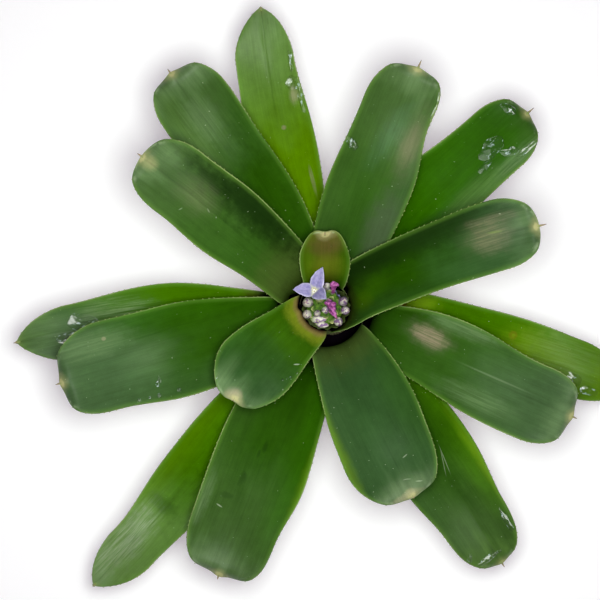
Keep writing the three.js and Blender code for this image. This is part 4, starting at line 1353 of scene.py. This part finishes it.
def stem_body():
    """The cut stub and the stem above it: a turned profile with rings where old leaves sat, a
    slightly wavy outline, and a shallow dish in the cut end."""
    bark = STUB_RADIUS - 0.2
    worn = STUB_RADIUS - 0.6
    profile = [
        (0.4, 0.35),
        (3.0, 0.3),
        (4.0, 0.0),
        (STUB_RADIUS - 1, 0),
        (bark, 1),
        (bark, STUB_HEIGHT * 0.3),
        (bark - SCAR_DEPTH, STUB_HEIGHT * 0.36),
        (bark, STUB_HEIGHT * 0.45),
        (worn, STUB_HEIGHT * 0.7),
        (worn - SCAR_DEPTH, STUB_HEIGHT * 0.76),
        (STUB_RADIUS - 1, STUB_HEIGHT * 0.85),
        (STUB_RADIUS - 2.2, STUB_HEIGHT),
        (STEM_RADIUS, STUB_HEIGHT + 2),
        (STEM_RADIUS, STEM_TOP - 2),
        (STEM_RADIUS - 2, STEM_TOP),
        (0.4, STEM_TOP),
    ]

    def ripple(angle, row, radius, height):
        waves = np.sin(7 * angle + row * 0.21) + np.sin(17 * angle - row * 0.13) - 1
        return 0.18 * waves * ((radius > STUB_RADIUS - 3) & (height > 0.6))

    return lathe_body(profile, 110, 128, ripple)


def stem_finish():
    """Brown and fibrous outside; the cut end is pale with a ring of darker fibres."""
    finish = Finish("stem_bark", 0.85)
    place = finish.place()
    x, y, height = finish.parts(place)
    reach = (x * x + y * y) ** 0.5
    angle = x.math("ARCTAN2", y)
    fibres = finish.noise(finish.vector(angle * 9.0, height * 0.12, 0.0), 1.6, 5.0, 0.65)
    grain = finish.noise(place, 0.45, 4.0, 0.6)
    dots = finish.noise(place, 0.9, 3.0, 0.6)
    layers = [(dots.step(0.45, 0.6), "9c7f56"), (reach.step(13.5, 15.5), "5c4430")]
    colour = finish.blend(
        "4a3624",
        (fibres.step(0.35, 0.65), "8b6f4c"),
        (grain.step(0.5, 0.75) * 0.5, "a8946a"),
        (height.step(0.9, 0.3), finish.blend("c8b48c", *layers)),
    )
    return finish.done(colour, {"Normal": finish.bump(fibres * 0.6 + grain * 0.4, 0.7)})


# ---- build the plant

SEED = 7
LEAF_SLOTS = [(1, "leaf_inner"), (9, "leaf_upper"), (15, "leaf_lower")]  # by the last rank in each
random = np.random.default_rng(SEED)
spines = spine_finish()
for rank, leaf in enumerate(LEAVES):
    node = f"leaf_{rank + 1:02d}"
    line = Midline(leaf, rank)
    slot = next(slot for last, slot in LEAF_SLOTS if rank <= last)
    add_piece(f"{node}_blade", leaf_body(line), node, leaf_finish(f"{node}_skin", line))
    spikes = joined([*prickle_bodies(line, random), spine_body(line)])
    add_piece(f"{node}_prickles", spikes, node, spines)
    films = [film_body(film, line, random) for film in FILMS if film.rank == rank]
    if films:
        finish = leaf_finish(f"{node}_wet", line, wet=True)
        add_piece(f"{node}_water", joined(films), node, finish)


def scales(rows):
    return joined([scale_body(scale) for scale in rows])


head = {
    "head_core": (head_core_body(), core_finish()),
    "head_buds": (joined([bud_body(bud) for bud in BUDS]), bud_finish()),
    "head_bracts": (scales(BRACTS), calyx_finish()),
    "head_collar": (scales(COLLAR), collar_finish()),
    "head_husks": (scales(HUSKS), husk_finish()),
}
flower = {
    "flower_tube": (flower_tube_body(), tube_finish()),
    "flower_calyx": (calyx_body(), calyx_finish()),
    **{f"petal_{n}": (petal_body(petal), petal_finish()) for n, petal in enumerate(PETALS, 1)},
    "flower_stamens": (joined(stamen_bodies()), stamen_finish()),
}
for pieces, node, slot in [(head, "flower_head", "buds"), (flower, "open_flower", "petals")]:
    for name, (body, finish) in pieces.items():
        add_piece(name, body, node, finish)
for n, spent in enumerate(SPENT_FLOWERS, 1):
    body = wisp_body(spent, n)
    add_piece(f"wisp_{n}", body, f"spent_flower_{n}", wisp_finish())
add_piece("stem_stub", stem_body(), "stem", stem_finish())

# ---- stage

FLOOR_HALF = 1500
FLOOR_COLOUR = (0.785, 0.84, 0.782, 1)
FLOOR_GLOW = 0.285
GLOW_COLOUR = (1, 0.79, 1.02, 1)
SKY = 0.1
# Each lamp is a disc that faces the plant from a height and a reach to the side. A small one casts
# the soft-edged shadows, a wide one fills them and gives the broad sheen, and a ring of others is
# only seen in gloss.
Lamp = namedtuple("Lamp", "name height reach bearing size power diffuse gloss")
LAMPS = [
    Lamp("key", 640, 0, 0, 165, 3.55, True, False),
    Lamp("softbox", 1600, 0, 0, 1230, 4.2, True, True),
    Lamp("glint", 1400, 0, 0, 240, 1.1, False, True),
    *(Lamp(f"glint_{n}", 700, 780, n + 15, 300, 1.4, False, True) for n in range(0, 360, 60)),
]
CAMERA_PLACE = (-13.75, 3.85, 820)
FRAME_WIDTH = 330  # mm that the picture takes in at the height of the cup
CUP_DISTANCE = 750
SENSOR = 36

floor_mesh = bpy.data.meshes.new("floor")
corners = np.array([[-1, -1, 0], [1, -1, 0], [1, 1, 0], [-1, 1, 0]]) * FLOOR_HALF * MM
floor_mesh.from_pydata(corners.tolist(), [], [[0, 1, 2, 3]])
glow = {"Emission Color": GLOW_COLOUR, "Emission Strength": FLOOR_GLOW}
floor_finish = Finish("floor", 0.9).done(FLOOR_COLOUR, {"Specular IOR Level": 0.0, **glow})
floor_mesh.materials.append(floor_finish)
floor = add_object("floor", floor_mesh)

world = bpy.data.worlds.new("studio")
world.use_nodes = True
world.node_tree.nodes["Background"].inputs["Color"].default_value = (1, 1, 1, 1)
world.node_tree.nodes["Background"].inputs["Strength"].default_value = SKY
bpy.context.scene.world = world

for lamp in LAMPS:
    light = bpy.data.lights.new(lamp.name, "AREA")
    light.shape = "DISK"
    light.size = lamp.size * MM
    light.energy = lamp.power
    holder = add_object(lamp.name, light)
    holder.location = tuple(polar(lamp.reach, lamp.bearing, lamp.height) * MM)
    holder.rotation_euler = (0, math.atan2(lamp.reach, lamp.height), lamp.bearing * RAD)
    holder.visible_camera = False
    holder.visible_diffuse = lamp.diffuse
    holder.visible_glossy = lamp.gloss

camera_data = bpy.data.cameras.new("camera")
camera_data.sensor_width = SENSOR
camera_data.lens = SENSOR * CUP_DISTANCE / FRAME_WIDTH
camera_data.clip_start = 0.01
camera = add_object("camera", camera_data)
camera.location = tuple(v * MM for v in CAMERA_PLACE)
bpy.context.scene.camera = camera
bpy.context.scene.view_settings.view_transform = "Standard"
